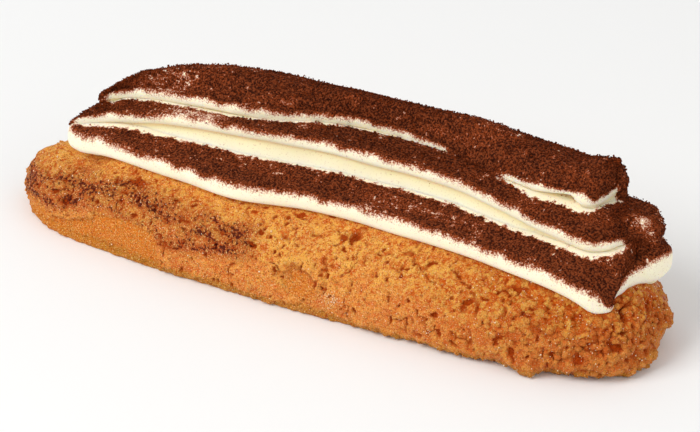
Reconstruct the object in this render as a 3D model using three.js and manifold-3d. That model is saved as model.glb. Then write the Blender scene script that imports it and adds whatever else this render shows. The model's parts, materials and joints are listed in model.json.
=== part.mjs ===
// An uncut choux eclair: a long bun under a crackled sugar crust, with three folds of piped cream on it.
// Millimetres, +Z up. X runs along the eclair, Y across it, and the origin is on the flat underside.
import * as THREE from "three";
import Module from "manifold-3d";

// The bun
const BUN_LENGTH = 140;
const BUN_WIDTH = 37.6;
const BUN_CROWN = 19.2; // height of the crown line
const BUN_WIDEST = 4.4; // height at which the sides bulge furthest
// In plan the widest line is a squared-off ellipse: a higher power makes an end longer in the side, a higher
// roundness makes it blunter at the tip
const BUN_LEFT_END = { power: 4.8, roundness: 1.6 };
const BUN_RIGHT_END = { power: 5.2, roundness: 2.5 };
const BUN_CROWN_ENDS = [-52.5, 53]; // the crown line's ends
// The left end slumps: it swings to the front and gets lower, beginning here
const SLUMP_START = -42;
const SLUMP_BEND = 3.5;
const SLUMP_CROWN_BEND = 4.5;
const SLUMP_CROWN = 4.6;
const SLUMP_WIDEST = 1.1;
// From the widest line in to the edge of the flat underside: on the left half, at the right end, and so much
// more at the left tip
const BASE_INSET_LEFT = 1.3;
const BASE_INSET_RIGHT = 4.2;
const BASE_INSET_END = 40;
const BASE_INSET_TIP = 1.5;

// Relief of the crust
const CRAG_WIDTH = 5.5; // spacing and height of the large crags
const CRAG_HEIGHT = 0.9;
const LUMP_WIDTH = 2.6; // spacing and height of the smaller lumps on them
const LUMP_HEIGHT = 0.8;
const MOIST_RANGE = [12, 62]; // from dry crust to moist and coarse along x
const DRY_LUMPS = 0.3; // share of the lumps' height on the dry crust
const RELIEF_RISE = 2; // the relief dies away over this height above the base, on the dry crust
const MOIST_RISE = 0.8; // and over this one on the moist crust
const PIT = { x: 10.7, y: -11.2, radius: 1.9, depth: 1.3 }; // one deep pit under the cream's edge
const KNOB = { x: 50, z: 2, radius: 5, height: 1.3 }; // a lump at the foot of the front
const SKIN_DEPTH = 0.9; // bare choux skin lies this far behind the crust's face
const CHIP = { x: 2.5, z: 8.3, length: 5, height: 2.8, share: 0.8 }; // where crust has flaked off the front
// Stretches where the crust stops above the base: x where each begins and is at full height, the height it
// stands at, a hump in it, and its side
const BARE_STRETCHES = [
  { begins: -22, full: -27, height: 5, hump: 4.4, humpX: -36, humpWidth: 9, side: -1 },
  { begins: 22, full: 50, height: 5.5, hump: 0, humpX: 50, humpWidth: 9, side: 1 },
];
const BARE_SIDE_FADE = 6; // a bare stretch dies away over this width at the bun's middle line

// The cream folds. Each edge row is x, y of the lip's outermost line, its middle height, its thickness and how
// far it overhangs, from 0, where it runs into what is under it, to 1. Rows start at the left end and go round
// by the front. Each crest row is x, y and height. The wall under a lip is hollowed by the crease, deepest so
// many lip thicknesses under the lip's middle, and its foot is set in at the depth.
const LIP_REACH = 0.55; // the lip's rounding, inwards, as a share of its thickness
const FOLDS = {
  cream_lower_fold: {
    edge: [
      [-56.6, -6.6, 19.2, 5.2, 1], [-53.2, -10.1, 18.9, 4.8, 1], [-44, -10.1, 19.1, 4.3, 1],
      [-17, -12.6, 19, 4.4, 1], [-2, -10.2, 19.2, 4.2, 1], [14, -9.6, 19.2, 4.2, 1],
      [32, -10.2, 19.2, 4.2, 1], [46, -11.4, 18.5, 4.2, 1], [55, -12.2, 16.9, 4.3, 1],
      [59.9, -11.6, 15.3, 3.8, 1], [62.4, -9.7, 14.7, 2, 1], [63.2, -8.4, 14.5, 1.1, 0.9],
      [62.9, -6.8, 16.1, 1.9, 1], [64, -2.9, 17, 3.8, 1], [67.9, 5.4, 17.7, 4.8, 1],
      [66.4, 9.8, 18.4, 4.4, 1], [56, 12.2, 19.2, 4.2, 1], [10, 13, 19.2, 4.2, 1],
      [-38, 11, 19, 4.2, 1], [-51, 6.5, 19, 4.4, 1],
    ],
    crest: [[-50, -1, 22.8], [-20, 1, 23.4], [10, 2, 23.4], [40, 1, 23.2], [62.5, 2, 22.8]],
    depth: 6,
    crease: 2.6,
    wallDrop: 0.6,
    footInset: 6.5,
  },
  cream_middle_fold: {
    edge: [
      [-56.3, -7, 21.4, 0.8, 0.1], [-54.6, -7.2, 22.1, 1.6, 0.5], [-51.7, -6.4, 22.9, 2.1, 0.9],
      [-45, -5.1, 24.3, 2.5, 1], [-32.3, -4.5, 26.5, 2.6, 1], [-17.5, -4.4, 27.7, 2.6, 1],
      [-2.3, -3.5, 27.9, 2.6, 1], [12.7, -2.9, 27.4, 2.6, 1], [26.6, -2.5, 27.1, 2.6, 1],
      [36.3, -3.5, 26.6, 2.6, 1], [45, -4.5, 25.2, 2.5, 1], [53.8, -5.2, 23.9, 2.3, 1],
      [56.5, -5.1, 23.8, 2.2, 1], [58.3, -3.9, 23.5, 2, 1], [60, -2.6, 23.7, 1.8, 1],
      [61, -0.6, 23.6, 1.5, 0.8], [61.8, 1.6, 23.3, 1, 0.2], [63.8, 3.6, 23.8, 1.6, 0],
      [65.8, 5.8, 24.6, 2.4, 0], [64.8, 8.8, 25.2, 2.6, 0.3], [57, 11.4, 25.8, 2.6, 1],
      [10, 12.8, 26.8, 2.6, 1], [-16, 12.2, 26.6, 2.6, 1], [-36, 10, 25.8, 2.6, 1],
      [-46, 6, 24.8, 2.4, 0.8], [-53, -1, 23, 2, 0.2],
    ],
    crest: [
      [-50, -2.5, 25.2], [-44, -0.5, 26.8], [-20, 3.5, 29], [10, 5.5, 29.3], [40, 4, 28.7], [58, 3, 27.4],
    ],
    depth: 6.3,
    crease: 1.2,
    wallDrop: 1,
    footInset: 0.8,
  },
  cream_upper_fold: {
    edge: [
      [-51.9, -3.2, 26.6, 1.2, 0.1], [-49, -2.6, 27, 1.5, 0.6], [-46.7, -1.6, 27.3, 1.7, 0.9],
      [-42.3, -1.3, 28.1, 1.9, 1], [-38, -1.2, 28.9, 2, 1], [-34, -1.4, 29.6, 2, 1],
      [-21.5, -1, 30.3, 1.9, 1], [-12.8, 1.1, 30.2, 1.7, 1], [-6.7, 3.7, 30.3, 1.5, 1],
      [3.2, 5.8, 30.4, 1.4, 1], [14, 6.1, 30.1, 1.2, 0.7], [24.3, 4.8, 29.4, 1, 0],
      [31.2, 2.9, 29.2, 1, 0], [36.3, 1.8, 29.6, 1.4, 0.8], [42.7, 0.3, 30, 1.7, 1],
      [48.4, 0.5, 30.5, 1.2, 1], [50, 0.6, 30.5, 1.2, 1], [52.2, 0.2, 30, 2.9, 1],
      [54.3, 1.4, 29.5, 1.7, 1], [55, 3.6, 29.2, 1.6, 1], [55.8, 6.1, 29.4, 1.7, 1],
      [57, 8.9, 31.2, 2.2, 0], [55.3, 11, 31.6, 2.4, 0.3], [52, 12.4, 31.4, 2.6, 1],
      [34, 13.4, 32, 2.4, 1], [10, 13.6, 32, 2.4, 1], [-14, 12.6, 32.2, 2.4, 1],
      [-32, 9.6, 31.6, 2.2, 1], [-45, 3.8, 29.6, 2, 0.4],
    ],
    crest: [
      [-50.4, -2.3, 28], [-46.6, -0.4, 30.8], [-42.3, 0.6, 32.6], [-37, 2, 34], [-27, 5.2, 35.2],
      [-12, 7.8, 34.6], [10, 9.5, 34.6], [28, 9, 35.6], [46, 7.2, 33.8], [52, 7.3, 35.1], [55.2, 7.5, 35.5],
    ],
    depth: 4.6,
    crease: 1.6,
    wallDrop: 1,
    footInset: 0.9,
  },
};
const CONTACT_GAP = 0.3; // between a fold and what it lies on

// How finely each surface is divided
const BUN_STEPS_ROUND = 180;
const FOLD_STEPS_ROUND = 92;
const BUN_PROFILE_DEGREES = [-90, -62, -34, -10, 8, 20, 30, 39, 47, 55, 63, 78];
const LIP_DEGREES = [-90, -45, 0, 45, 90];
const TOP_SHARES = [0.16, 0.36, 0.62, 0.9]; // from the lip's top to the crest line
const FINE_SAMPLES = 2400; // for spacing points evenly along a curve

const wasm = await Module();
wasm.setup();

function smoothstep(from, to, value) {
  const t = Math.min(1, Math.max(0, (value - from) / (to - from)));
  return t * t * (3 - 2 * t);
}

// A repeatable number from 0 to 1 for a lattice point
function latticeValue(x, y, z) {
  let h = Math.imul(x, 374761393) + Math.imul(y, 668265263) + Math.imul(z, 1442695041);
  h = Math.imul(h ^ (h >>> 13), 1274126177);
  return ((h ^ (h >>> 16)) >>> 0) / 4294967296;
}

// Smooth noise from 0 to 1: lattice values a width apart, blended through the cell that holds the point
function noise(point, width) {
  const scaled = [point.x / width, point.y / width, point.z / width];
  const cell = scaled.map(Math.floor);
  const [u, v, w] = scaled.map((c, k) => smoothstep(0, 1, c - cell[k]));
  let sum = 0;
  for (let corner = 0; corner < 8; corner++) {
    const [a, b, c] = [corner & 1, (corner >> 1) & 1, corner >> 2];
    const weight = (a ? u : 1 - u) * (b ? v : 1 - v) * (c ? w : 1 - w);
    sum += weight * latticeValue(cell[0] + a, cell[1] + b, cell[2] + c);
  }
  return sum;
}

// One Catmull-Rom span between rows b and c, with rows a and d on either side
function span(a, b, c, d, f) {
  return b.map((_, k) => {
    const square = 2 * a[k] - 5 * b[k] + 4 * c[k] - d[k];
    const cube = 3 * b[k] - a[k] - 3 * c[k] + d[k];
    return 0.5 * (2 * b[k] + (c[k] - a[k]) * f + square * f * f + cube * f * f * f);
  });
}

function closedCurve(rows) {
  const n = rows.length;
  return (t) => {
    const i = Math.floor(t * n);
    return span(rows[(i + n - 1) % n], rows[i % n], rows[(i + 1) % n], rows[(i + 2) % n], t * n - i);
  };
}

// The crest line's row above a given x, held at its end rows beyond them
function crestLine(rows) {
  const last = rows.length - 1;
  const beyond = (a, b) => a.map((value, k) => 2 * value - b[k]);
  const padded = [beyond(rows[0], rows[1]), ...rows, beyond(rows[last], rows[last - 1])];
  const fine = Array.from({ length: FINE_SAMPLES + 1 }, (_, k) => {
    const t = (k / FINE_SAMPLES) * last;
    const i = Math.min(Math.floor(t), last - 1);
    return span(padded[i], padded[i + 1], padded[i + 2], padded[i + 3], t - i);
  });
  return (x) => {
    const k = fine.findIndex((row) => row[0] >= x);
    if (k === 0) return rows[0];
    if (k < 0) return rows[last];
    const f = (x - fine[k - 1][0]) / (fine[k][0] - fine[k - 1][0]);
    return fine[k].map((value, c) => fine[k - 1][c] + (value - fine[k - 1][c]) * f);
  };
}

// Rows spaced evenly in plan along a closed curve
function evenLoop(curve, count) {
  const fine = Array.from({ length: FINE_SAMPLES + 1 }, (_, k) => curve((k % FINE_SAMPLES) / FINE_SAMPLES));
  const along = [0];
  for (let k = 1; k <= FINE_SAMPLES; k++) {
    const step = Math.hypot(fine[k][0] - fine[k - 1][0], fine[k][1] - fine[k - 1][1]);
    along.push(along[k - 1] + step);
  }
  let k = 1;
  return Array.from({ length: count }, (_, i) => {
    const want = (along[FINE_SAMPLES] * i) / count;
    while (along[k] < want) k++;
    const f = (want - along[k - 1]) / (along[k] - along[k - 1]);
    return fine[k].map((value, c) => fine[k - 1][c] + (value - fine[k - 1][c]) * f);
  });
}

// A point moved in plan towards another by a distance
function movedTowards(from, to, distance, height) {
  const [dx, dy] = [to[0] - from[0], to[1] - from[1]];
  const share = distance / Math.hypot(dx, dy);
  return new THREE.Vector3(from[0] + dx * share, from[1] + dy * share, height);
}

// Stacked rings, lowest first, each going round by the front, closed top and bottom by a strip across
function ringSolid(rings) {
  const count = rings[0].length;
  const triVerts = [];
  const quad = (a, b, c, d) => triVerts.push(a, b, c, a, c, d);
  for (let j = 0; j + 1 < rings.length; j++) {
    for (let i = 0; i < count; i++) {
      const next = (i + 1) % count;
      quad(j * count + i, j * count + next, (j + 1) * count + next, (j + 1) * count + i);
    }
  }
  const top = (rings.length - 1) * count;
  const half = count / 2;
  triVerts.push(top, top + 1, top + count - 1, 0, count - 1, 1);
  for (let i = 1; i < half - 1; i++) {
    quad(top + i, top + i + 1, top + count - i - 1, top + count - i);
    quad(count - i, count - i - 1, i + 1, i);
  }
  triVerts.push(top + half - 1, top + half, top + half + 1, half + 1, half, half - 1);
  const vertProperties = new Float32Array(rings.flat().flatMap((p) => [p.x, p.y, p.z]));
  const mesh = new wasm.Mesh({ numProp: 3, vertProperties, triVerts: new Uint32Array(triVerts) });
  return new wasm.Manifold(mesh);
}

function bunBend(x) {
  return -SLUMP_BEND * smoothstep(SLUMP_START, -BUN_LENGTH / 2, x);
}

// The bun's widest line, going round by the front from the left tip
function bunOutline(t) {
  const angle = 2 * Math.PI * t;
  const x = (-BUN_LENGTH / 2) * Math.cos(angle);
  const { power, roundness } = x < 0 ? BUN_LEFT_END : BUN_RIGHT_END;
  const share = Math.max(0, 1 - Math.abs(Math.cos(angle)) ** power) ** (1 / roundness);
  return [x, bunBend(x) - Math.sign(Math.sin(angle)) * (BUN_WIDTH / 2) * share];
}

// The point of the crown line that a point at x of the widest line rises to
function bunCrown(x) {
  const [left, right] = BUN_CROWN_ENDS;
  const held = Math.min(right, Math.max(left, x));
  const slump = smoothstep(SLUMP_START, left, held);
  return [held, -SLUMP_CROWN_BEND * slump, BUN_CROWN - SLUMP_CROWN * slump];
}

// From the widest line in to the edge of the underside at x
function baseInset(x) {
  const blend = smoothstep(0, BASE_INSET_END, x);
  const tip = smoothstep(BUN_CROWN_ENDS[0], -BUN_LENGTH / 2, x);
  return BASE_INSET_LEFT + (BASE_INSET_RIGHT - BASE_INSET_LEFT) * blend + BASE_INSET_TIP * tip;
}

// Share of the skin laid bare at a point: below the crust's lower edge, and in the chip
function bareShare(p) {
  const fromChip = Math.hypot((p.x - CHIP.x) / CHIP.length, (p.z - CHIP.z) / CHIP.height);
  let bare = p.y < 0 ? CHIP.share * (1 - smoothstep(0.6, 1.1, fromChip)) : 0;
  for (const { begins, full, height, hump, humpX, humpWidth, side } of BARE_STRETCHES) {
    const onSide = smoothstep(-BARE_SIDE_FADE, 0, side * (p.y - bunBend(p.x)));
    const humped = height + hump * Math.exp(-(((p.x - humpX) / humpWidth) ** 2));
    const edge = humped * smoothstep(begins, full, p.x) * onSide;
    const below = 1 - smoothstep(edge - 1, edge + 0.5, p.z);
    bare = Math.max(bare, below * Math.min(1, edge));
  }
  return bare;
}

// How far the crust stands out from the smooth bun at a point of it
function crustRelief(p) {
  const moist = smoothstep(...MOIST_RANGE, p.x);
  const crag = CRAG_HEIGHT * (noise(p, CRAG_WIDTH) - 0.5);
  const lump = LUMP_HEIGHT * (noise(p, LUMP_WIDTH) - 0.5) * (DRY_LUMPS + (1 - DRY_LUMPS) * moist);
  const fromPit = Math.hypot(p.x - PIT.x, p.y - PIT.y) / PIT.radius;
  const pit = PIT.depth * (1 - smoothstep(0, 1, fromPit));
  const fromKnob = Math.hypot(p.x - KNOB.x, p.z - KNOB.z) / KNOB.radius;
  const knob = p.y < 0 ? KNOB.height * (1 - smoothstep(0, 1, fromKnob)) : 0;
  const rise = RELIEF_RISE + (MOIST_RISE - RELIEF_RISE) * moist;
  return (crag + lump - pit + knob - SKIN_DEPTH * bareShare(p)) * smoothstep(0, rise, p.z);
}

// Each point of a grid of rings moved along the surface's outward normal
function withRelief(rings, relief) {
  const count = rings[0].length;
  const along = new THREE.Vector3();
  const up = new THREE.Vector3();
  return rings.map((ring, j) => ring.map((p, i) => {
    along.subVectors(ring[(i + 1) % count], ring[(i + count - 1) % count]);
    up.subVectors(rings[Math.min(j + 1, rings.length - 1)][i], rings[Math.max(j - 1, 0)][i]);
    const normal = new THREE.Vector3().crossVectors(along, up).normalize();
    return p.clone().addScaledVector(normal, relief(p));
  }));
}

// The bun's side is a quarter ellipse from the widest line down to the base and another up to the crown line
function makeBun() {
  const outline = evenLoop(bunOutline, BUN_STEPS_ROUND);
  const rings = BUN_PROFILE_DEGREES.map((degrees) => {
    const angle = degrees * THREE.MathUtils.DEG2RAD;
    return outline.map((edge) => {
      const crown = bunCrown(edge[0]);
      const widest = BUN_WIDEST - SLUMP_WIDEST * smoothstep(SLUMP_START, -BUN_LENGTH / 2, edge[0]);
      let [reach, rise] = [Math.hypot(crown[0] - edge[0], crown[1] - edge[1]), crown[2] - widest];
      if (degrees < 0) [reach, rise] = [baseInset(edge[0]), widest];
      return movedTowards(edge, crown, reach * (1 - Math.cos(angle)), widest + rise * Math.sin(angle));
    });
  });
  return ringSolid(withRelief(rings, crustRelief));
}

// One fold: a foot sunk in what it lies on, a hollow wall, a rounded lip and a top rising to the crest line.
// Where the lip doesn't overhang, the wall goes straight down from it
function makeFold({ edge, crest, depth, crease, wallDrop, footInset }) {
  const outline = evenLoop(closedCurve(edge), FOLD_STEPS_ROUND);
  const crestAt = crestLine(crest);
  const overhang = (row) => Math.min(1, Math.max(0, row[4]));
  const ring = (place) => outline.map((row) => place(row, crestAt(row[0])));
  const lip = (degrees) => ring((row, top) => {
    const angle = degrees * THREE.MathUtils.DEG2RAD;
    const reach = LIP_REACH * row[3] * (degrees < 0 ? overhang(row) : 1);
    return movedTowards(row, top, reach * (1 - Math.cos(angle)), row[2] + (row[3] / 2) * Math.sin(angle));
  });
  const foot = ring((row, top) => movedTowards(row, top, footInset * overhang(row), row[2] - depth));
  const wall = ring((row, top) => movedTowards(row, top, crease * overhang(row), row[2] - row[3] * wallDrop));
  const lipTop = lip(90);
  const tops = TOP_SHARES.map((share) => lipTop.map((p, i) => {
    const [x, y, height] = crestAt(outline[i][0]);
    const eased = 1 - (1 - share) ** 2;
    return new THREE.Vector3(p.x + (x - p.x) * share, p.y + (y - p.y) * share, p.z + (height - p.z) * eased);
  }));
  return ringSolid([foot, wall, ...LIP_DEGREES.map(lip), ...tops]);
}

// A fold with the room of each piece under it cut away, leaving the gap, and only the main piece kept
function restingOn(fold, lowerPieces) {
  let left = fold;
  for (const piece of lowerPieces) {
    left = left.subtract(piece).subtract(piece.translate([0, 0, CONTACT_GAP]));
  }
  return left.decompose().sort((a, b) => b.volume() - a.volume())[0];
}

function meshOf(name, solid, material) {
  const { vertProperties, triVerts } = solid.getMesh();
  const geometry = new THREE.BufferGeometry();
  geometry.setAttribute("position", new THREE.BufferAttribute(vertProperties, 3));
  geometry.setIndex(new THREE.BufferAttribute(triVerts, 1));
  geometry.computeVertexNormals();
  const mesh = new THREE.Mesh(geometry, material);
  mesh.name = name;
  return mesh;
}

const crust = new THREE.MeshStandardMaterial({ color: "#c98642", roughness: 0.75, metalness: 0 });
const eclair = new THREE.Group();
const bun = makeBun();
eclair.add(meshOf("choux_bun", bun, crust));
const pieces = [bun];
for (const [name, fold] of Object.entries(FOLDS)) {
  const cream = new THREE.MeshStandardMaterial({ color: "#fdf3d8", roughness: 0.45, metalness: 0 });
  const solid = restingOn(makeFold(fold), pieces);
  eclair.add(meshOf(name, solid, cream));
  pieces.push(solid);
}

export default eclair;
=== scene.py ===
"""A choux eclair with a crackled sugar crust, three folds of piped cream and a dusting of cocoa.

Shapes are worked out in millimetres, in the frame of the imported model, and written to meshes in metres.
X runs along the eclair, Y across it to the back, Z up from the flat underside.
"""

import itertools
import json

import bpy
import numpy as np
from bpy.props import FloatProperty, FloatVectorProperty, IntProperty, PointerProperty
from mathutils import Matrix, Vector

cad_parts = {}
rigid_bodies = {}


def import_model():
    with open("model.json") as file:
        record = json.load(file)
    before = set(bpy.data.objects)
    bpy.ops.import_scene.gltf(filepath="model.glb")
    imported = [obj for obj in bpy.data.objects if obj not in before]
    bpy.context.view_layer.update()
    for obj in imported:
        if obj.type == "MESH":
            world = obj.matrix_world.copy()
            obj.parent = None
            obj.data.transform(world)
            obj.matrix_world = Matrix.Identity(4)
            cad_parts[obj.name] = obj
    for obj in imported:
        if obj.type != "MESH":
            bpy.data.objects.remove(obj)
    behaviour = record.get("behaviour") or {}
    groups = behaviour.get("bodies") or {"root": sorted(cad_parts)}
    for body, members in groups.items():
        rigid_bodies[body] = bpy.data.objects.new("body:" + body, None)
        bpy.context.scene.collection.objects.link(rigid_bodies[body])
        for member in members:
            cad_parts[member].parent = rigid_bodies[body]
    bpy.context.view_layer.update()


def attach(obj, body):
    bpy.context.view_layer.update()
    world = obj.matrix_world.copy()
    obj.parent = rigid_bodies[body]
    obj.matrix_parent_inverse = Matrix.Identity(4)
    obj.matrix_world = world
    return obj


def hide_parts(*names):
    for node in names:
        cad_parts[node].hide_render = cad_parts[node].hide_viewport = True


bl_info = {
    "name": "Cream eclair",
    "version": (1, 0, 0),
    "blender": (4, 5, 0),
    "location": "3D View > Sidebar > Eclair",
    "description": "A choux eclair with a sugar crust, folds of piped cream and dusted cocoa",
    "category": "Add Mesh",
}

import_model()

MM = 0.001

# The bun, as in the part's source
BUN_LENGTH = 140
BUN_WIDTH = 37.6
BUN_CROWN = 19.2
BUN_WIDEST = 4.4
BUN_LEFT_END = {"power": 4.8, "roundness": 1.6}
BUN_RIGHT_END = {"power": 5.2, "roundness": 2.5}
BUN_CROWN_ENDS = (-52.5, 53)
SLUMP_START = -42
SLUMP_BEND = 3.5
SLUMP_CROWN_BEND = 4.5
SLUMP_CROWN = 4.6
SLUMP_WIDEST = 1.1
BASE_INSET_LEFT = 1.3
BASE_INSET_RIGHT = 4.2
BASE_INSET_END = 40
BASE_INSET_TIP = 1.5

# Relief of the crust that the solid has too: crags, lumps, one deep pit, the knob at the foot and the skin
CRAG_WIDTH = 5.5
CRAG_HEIGHT = 0.9
LUMP_WIDTH = 2.6
LUMP_HEIGHT = 0.8
DRY_LUMPS = 0.3
RELIEF_RISE = 2
MOIST_RISE = 0.8
DEEP_PIT = {"x": 10.7, "y": -11.2, "radius": 1.9, "depth": 1.3}
KNOB = {"x": 50, "z": 2, "radius": 5, "height": 1.1}
SKIN_DEPTH = 0.9

# A chip where the crust has flaked off the front: its middle, its half length and half height, how much
# of the crust is gone and how far its upper edge curls up. Its border, its step and its curl are
# distances from its middle, as shares of its half size. The step is cut in and darkened with painted
# shade, by its shade's share.
CHIP = {
    "x": 2.3,
    "z": 6.6,
    "length": 4.7,
    "height": 3.2,
    "share": 0.75,
    "rise": 0.45,
    "fray": 0.18,
    "border": (0.55, 1.1),
    "step": 0.95,
    "step_spread": 0.14,
    "step_rise": (0, 2),
    "step_shade": 0.5,
    "curl": 1.25,
    "curl_spread": 0.2,
    "curl_rise": (-1, 1),
}

# A lip's section, in shares of its thickness: how far its upper half reaches in, its undercut and its
# flare where it merges. The last is the power that squares it.
LIP_REACH = 0.55
LIP_UNDERCUT = 0.36
LIP_FLARE = 0.25
LIP_SQUARENESS = 0.8

# Lips that merge into what is under them, and folds that are set in at the back
MERGED_DROPS = (1, 5)
MERGED_FLARE = 0.1
MERGED_SINK = 0.6
BACK_TURN = (-0.3, 0.5)
BACK_INSET = 4
BACK_CREASE = 2.4

# The cream folds. Each edge row is x, y of the lip's outermost line, its middle height, its thickness,
# and how far it overhangs: from 0, where it runs into what is under it, to 1. Rows go from the left end
# round by the front. Each crest row is x, y and height. The foot sinks into what is under it and is set
# in from the lip. The crease is how far in the cove goes, and the wall's drop is how far under the lip
# that is, in lip thicknesses. The crease's shade is how dark the painted line of shade along it is. The
# undercut is the x, width and depth of an extra hollow.
FOLDS = {
    "cream_lower_fold": {
        "edge": [
            (-56.6, -6.6, 19.2, 5.2, 1), (-53.2, -10.1, 18.9, 4.8, 1), (-44, -10.1, 19.1, 4.3, 1),
            (-17, -12.6, 19.4, 4.4, 1), (-2, -10.2, 19.6, 4.2, 1), (14, -9.6, 19.5, 4.2, 1),
            (32, -10.2, 19.3, 4.2, 1), (46, -11.4, 18.9, 4.2, 1), (55, -12.2, 18, 4.3, 1),
            (59.9, -11.6, 15.9, 4.5, 1), (62.4, -9.7, 14.8, 2.6, 1), (63.2, -8.4, 14.6, 1.1, 0.9),
            (62.9, -6.8, 16.1, 1.9, 1), (64, -2.9, 17.1, 4, 1), (67.9, 5.4, 17.7, 6.4, 1),
            (66.4, 9.8, 18.2, 5.2, 1), (56, 12.2, 19.2, 4.2, 1), (10, 13, 19.2, 4.2, 1),
            (-38, 11, 19, 4.2, 1), (-51, 6.5, 19, 4.4, 1),
        ],
        "crest": [(-50, -1, 22.8), (-20, 1, 23.4), (10, 2, 23.4), (40, 1, 23.2), (62.5, 2, 22.8)],
        "sink": 1.5,
        "crease": 2.6,
        "crease_shade": 0.34,
        "wall_drop": 0.6,
        "foot_inset": 6.5,
        "undercut": (0, 1, 0),
    },
    "cream_middle_fold": {
        "edge": [
            (-56.3, -7, 21.4, 0.8, 0.2), (-54.6, -7.2, 22.1, 1.6, 0.8), (-51.7, -6.4, 22.9, 2.1, 0.9),
            (-45, -5.1, 24.3, 2.5, 1), (-32.3, -4.5, 26.5, 2.6, 1), (-17.5, -4.4, 27.7, 2.6, 1),
            (-2.3, -2.5, 28, 2.6, 1), (12.7, -1.6, 27.5, 2.6, 1), (26.6, -1.9, 27.1, 2.6, 1),
            (36.3, -3.5, 26.6, 2.6, 1), (45, -4.5, 25.2, 2.5, 1), (53.8, -5.2, 23.9, 2.3, 1),
            (56.5, -5.1, 23.8, 2.2, 1), (58.3, -3.9, 23.5, 2, 1), (60, -2.6, 23.7, 1.8, 1),
            (61, -0.6, 23.6, 1.5, 0.8), (61.8, 1.6, 23.3, 1, 0.2), (63.8, 3.6, 23.8, 1.6, 0),
            (65.8, 5.8, 24.6, 2.4, 0), (64.8, 8.8, 25.2, 2.6, 0.3), (57, 11.4, 25.8, 2.6, 1),
            (10, 12.8, 26.8, 2.6, 1), (-16, 12.2, 26.6, 2.6, 1), (-36, 10, 25.8, 2.6, 1),
            (-46, 6, 24.8, 2.4, 0.8), (-53, -1, 23, 2, 0.2),
        ],
        "crest": [
            (-50, -2.5, 25.2), (-44, -0.5, 26.8), (-20, 3.5, 29), (10, 5.5, 29.3), (40, 4, 28.7),
            (58, 3, 27.4),
        ],
        "sink": 0.3,
        "crease": 0.9,
        "crease_shade": 0.34,
        "wall_drop": 1,
        "foot_inset": 0,
        "undercut": (0, 1, 0),
    },
    "cream_upper_fold": {
        "edge": [
            (-51.9, -3.2, 26.6, 1.2, 0.2), (-49.3, -1.9, 26.7, 1.8, 0.9), (-47.2, -0.8, 27, 2.2, 0.9),
            (-42.8, -0.5, 27.8, 2.4, 1), (-38.4, -0.4, 28.6, 2.5, 1), (-34.3, -0.8, 29.3, 2.5, 1),
            (-21.5, -1, 30.2, 2.4, 1), (-12.8, 1.1, 30, 2.4, 1), (-6.7, 3.7, 30.1, 2.3, 1),
            (3.2, 5.8, 30.2, 2.3, 1), (14, 6.1, 29.7, 1.9, 1), (20.5, 5.5, 29.5, 1.4, 0.9),
            (24.3, 4.8, 29.4, 1, 0), (31.2, 2.9, 29.2, 1, 0), (36.3, 1.8, 29.6, 1.4, 0.8),
            (42.7, 0.3, 30, 1.7, 1),
            (45.8, 0.4, 30.2, 1.5, 1), (48.4, 0.5, 30.5, 1.2, 1), (50, 0.6, 30.5, 1.2, 1),
            (51.2, 0.3, 30.2, 2.4, 1), (52.2, 0.2, 30, 2.9, 1), (53.4, 0.6, 29.7, 2.4, 1),
            (54.3, 1.4, 29.5, 1.7, 1), (55, 3.6, 29.2, 1.6, 1), (55.8, 6.1, 29.4, 1.7, 1),
            (56.5, 7.4, 30.1, 1.8, 0.6), (57.2, 8.9, 32.2, 3, 0), (55.6, 11, 32.2, 2.8, 0.3),
            (52, 12.4, 31.4, 2.6, 1), (34, 13.4, 32, 2.4, 1), (10, 13.6, 32, 2.4, 1),
            (-14, 12.6, 32.2, 2.4, 1), (-32, 9.6, 31.6, 2.2, 1), (-45, 3.8, 29.6, 2, 0.4),
        ],
        "crest": [
            (-50.4, -2.3, 28), (-46.6, -0.4, 30.8), (-42.3, 0.6, 32.6), (-37, 2, 34), (-27, 5.2, 35.2),
            (-12, 7.8, 34.6), (10, 9.5, 34.6), (28, 9, 35.6), (46, 7.2, 33.8), (52, 7.3, 35.1),
            (56, 7.7, 35.7),
        ],
        "sink": 0.3,
        "crease": 0.9,
        "crease_shade": 0.1,
        "wall_drop": 1,
        "foot_inset": 0,
        "undercut": (47.5, 3.4, 3.6),
    },
}

# How finely the surfaces are divided: points round them, angles up the bun's and a lip's section, steps
# in each half of a cove, steps each way that the ground is evened over, and shares of the way to a crest
FINE_SAMPLES = 12000
BUN_STEPS_ROUND = 1070
BUN_DEGREES = np.concatenate(
    [np.linspace(-90, 0, 14, endpoint=False), np.linspace(0, 64, 66), np.linspace(66, 88, 12)]
)
FOLD_STEPS_ROUND = 1100
COVE_STEPS = 8
EVENED_STEPS = 10
LIP_DEGREES = np.linspace(-90, 90, 27)
TOP_SHARES = np.linspace(0, 0.975, 45)[1:]

# The bare skin's upper edge on the front and at the back: the x where it begins and where it is full, its
# height, and a hump on the front
BARE_FRONT = {"begins": -25, "full": -35, "height": 5.0, "hump": 4.2, "hump_x": -38, "hump_width": 9}
BARE_BACK = {"begins": 22, "full": 50, "height": 5.5}
BARE_SIDE_FADE = 6
BARE_FADE = 0.6
BARE_FULL_HEIGHT = 3

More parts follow.
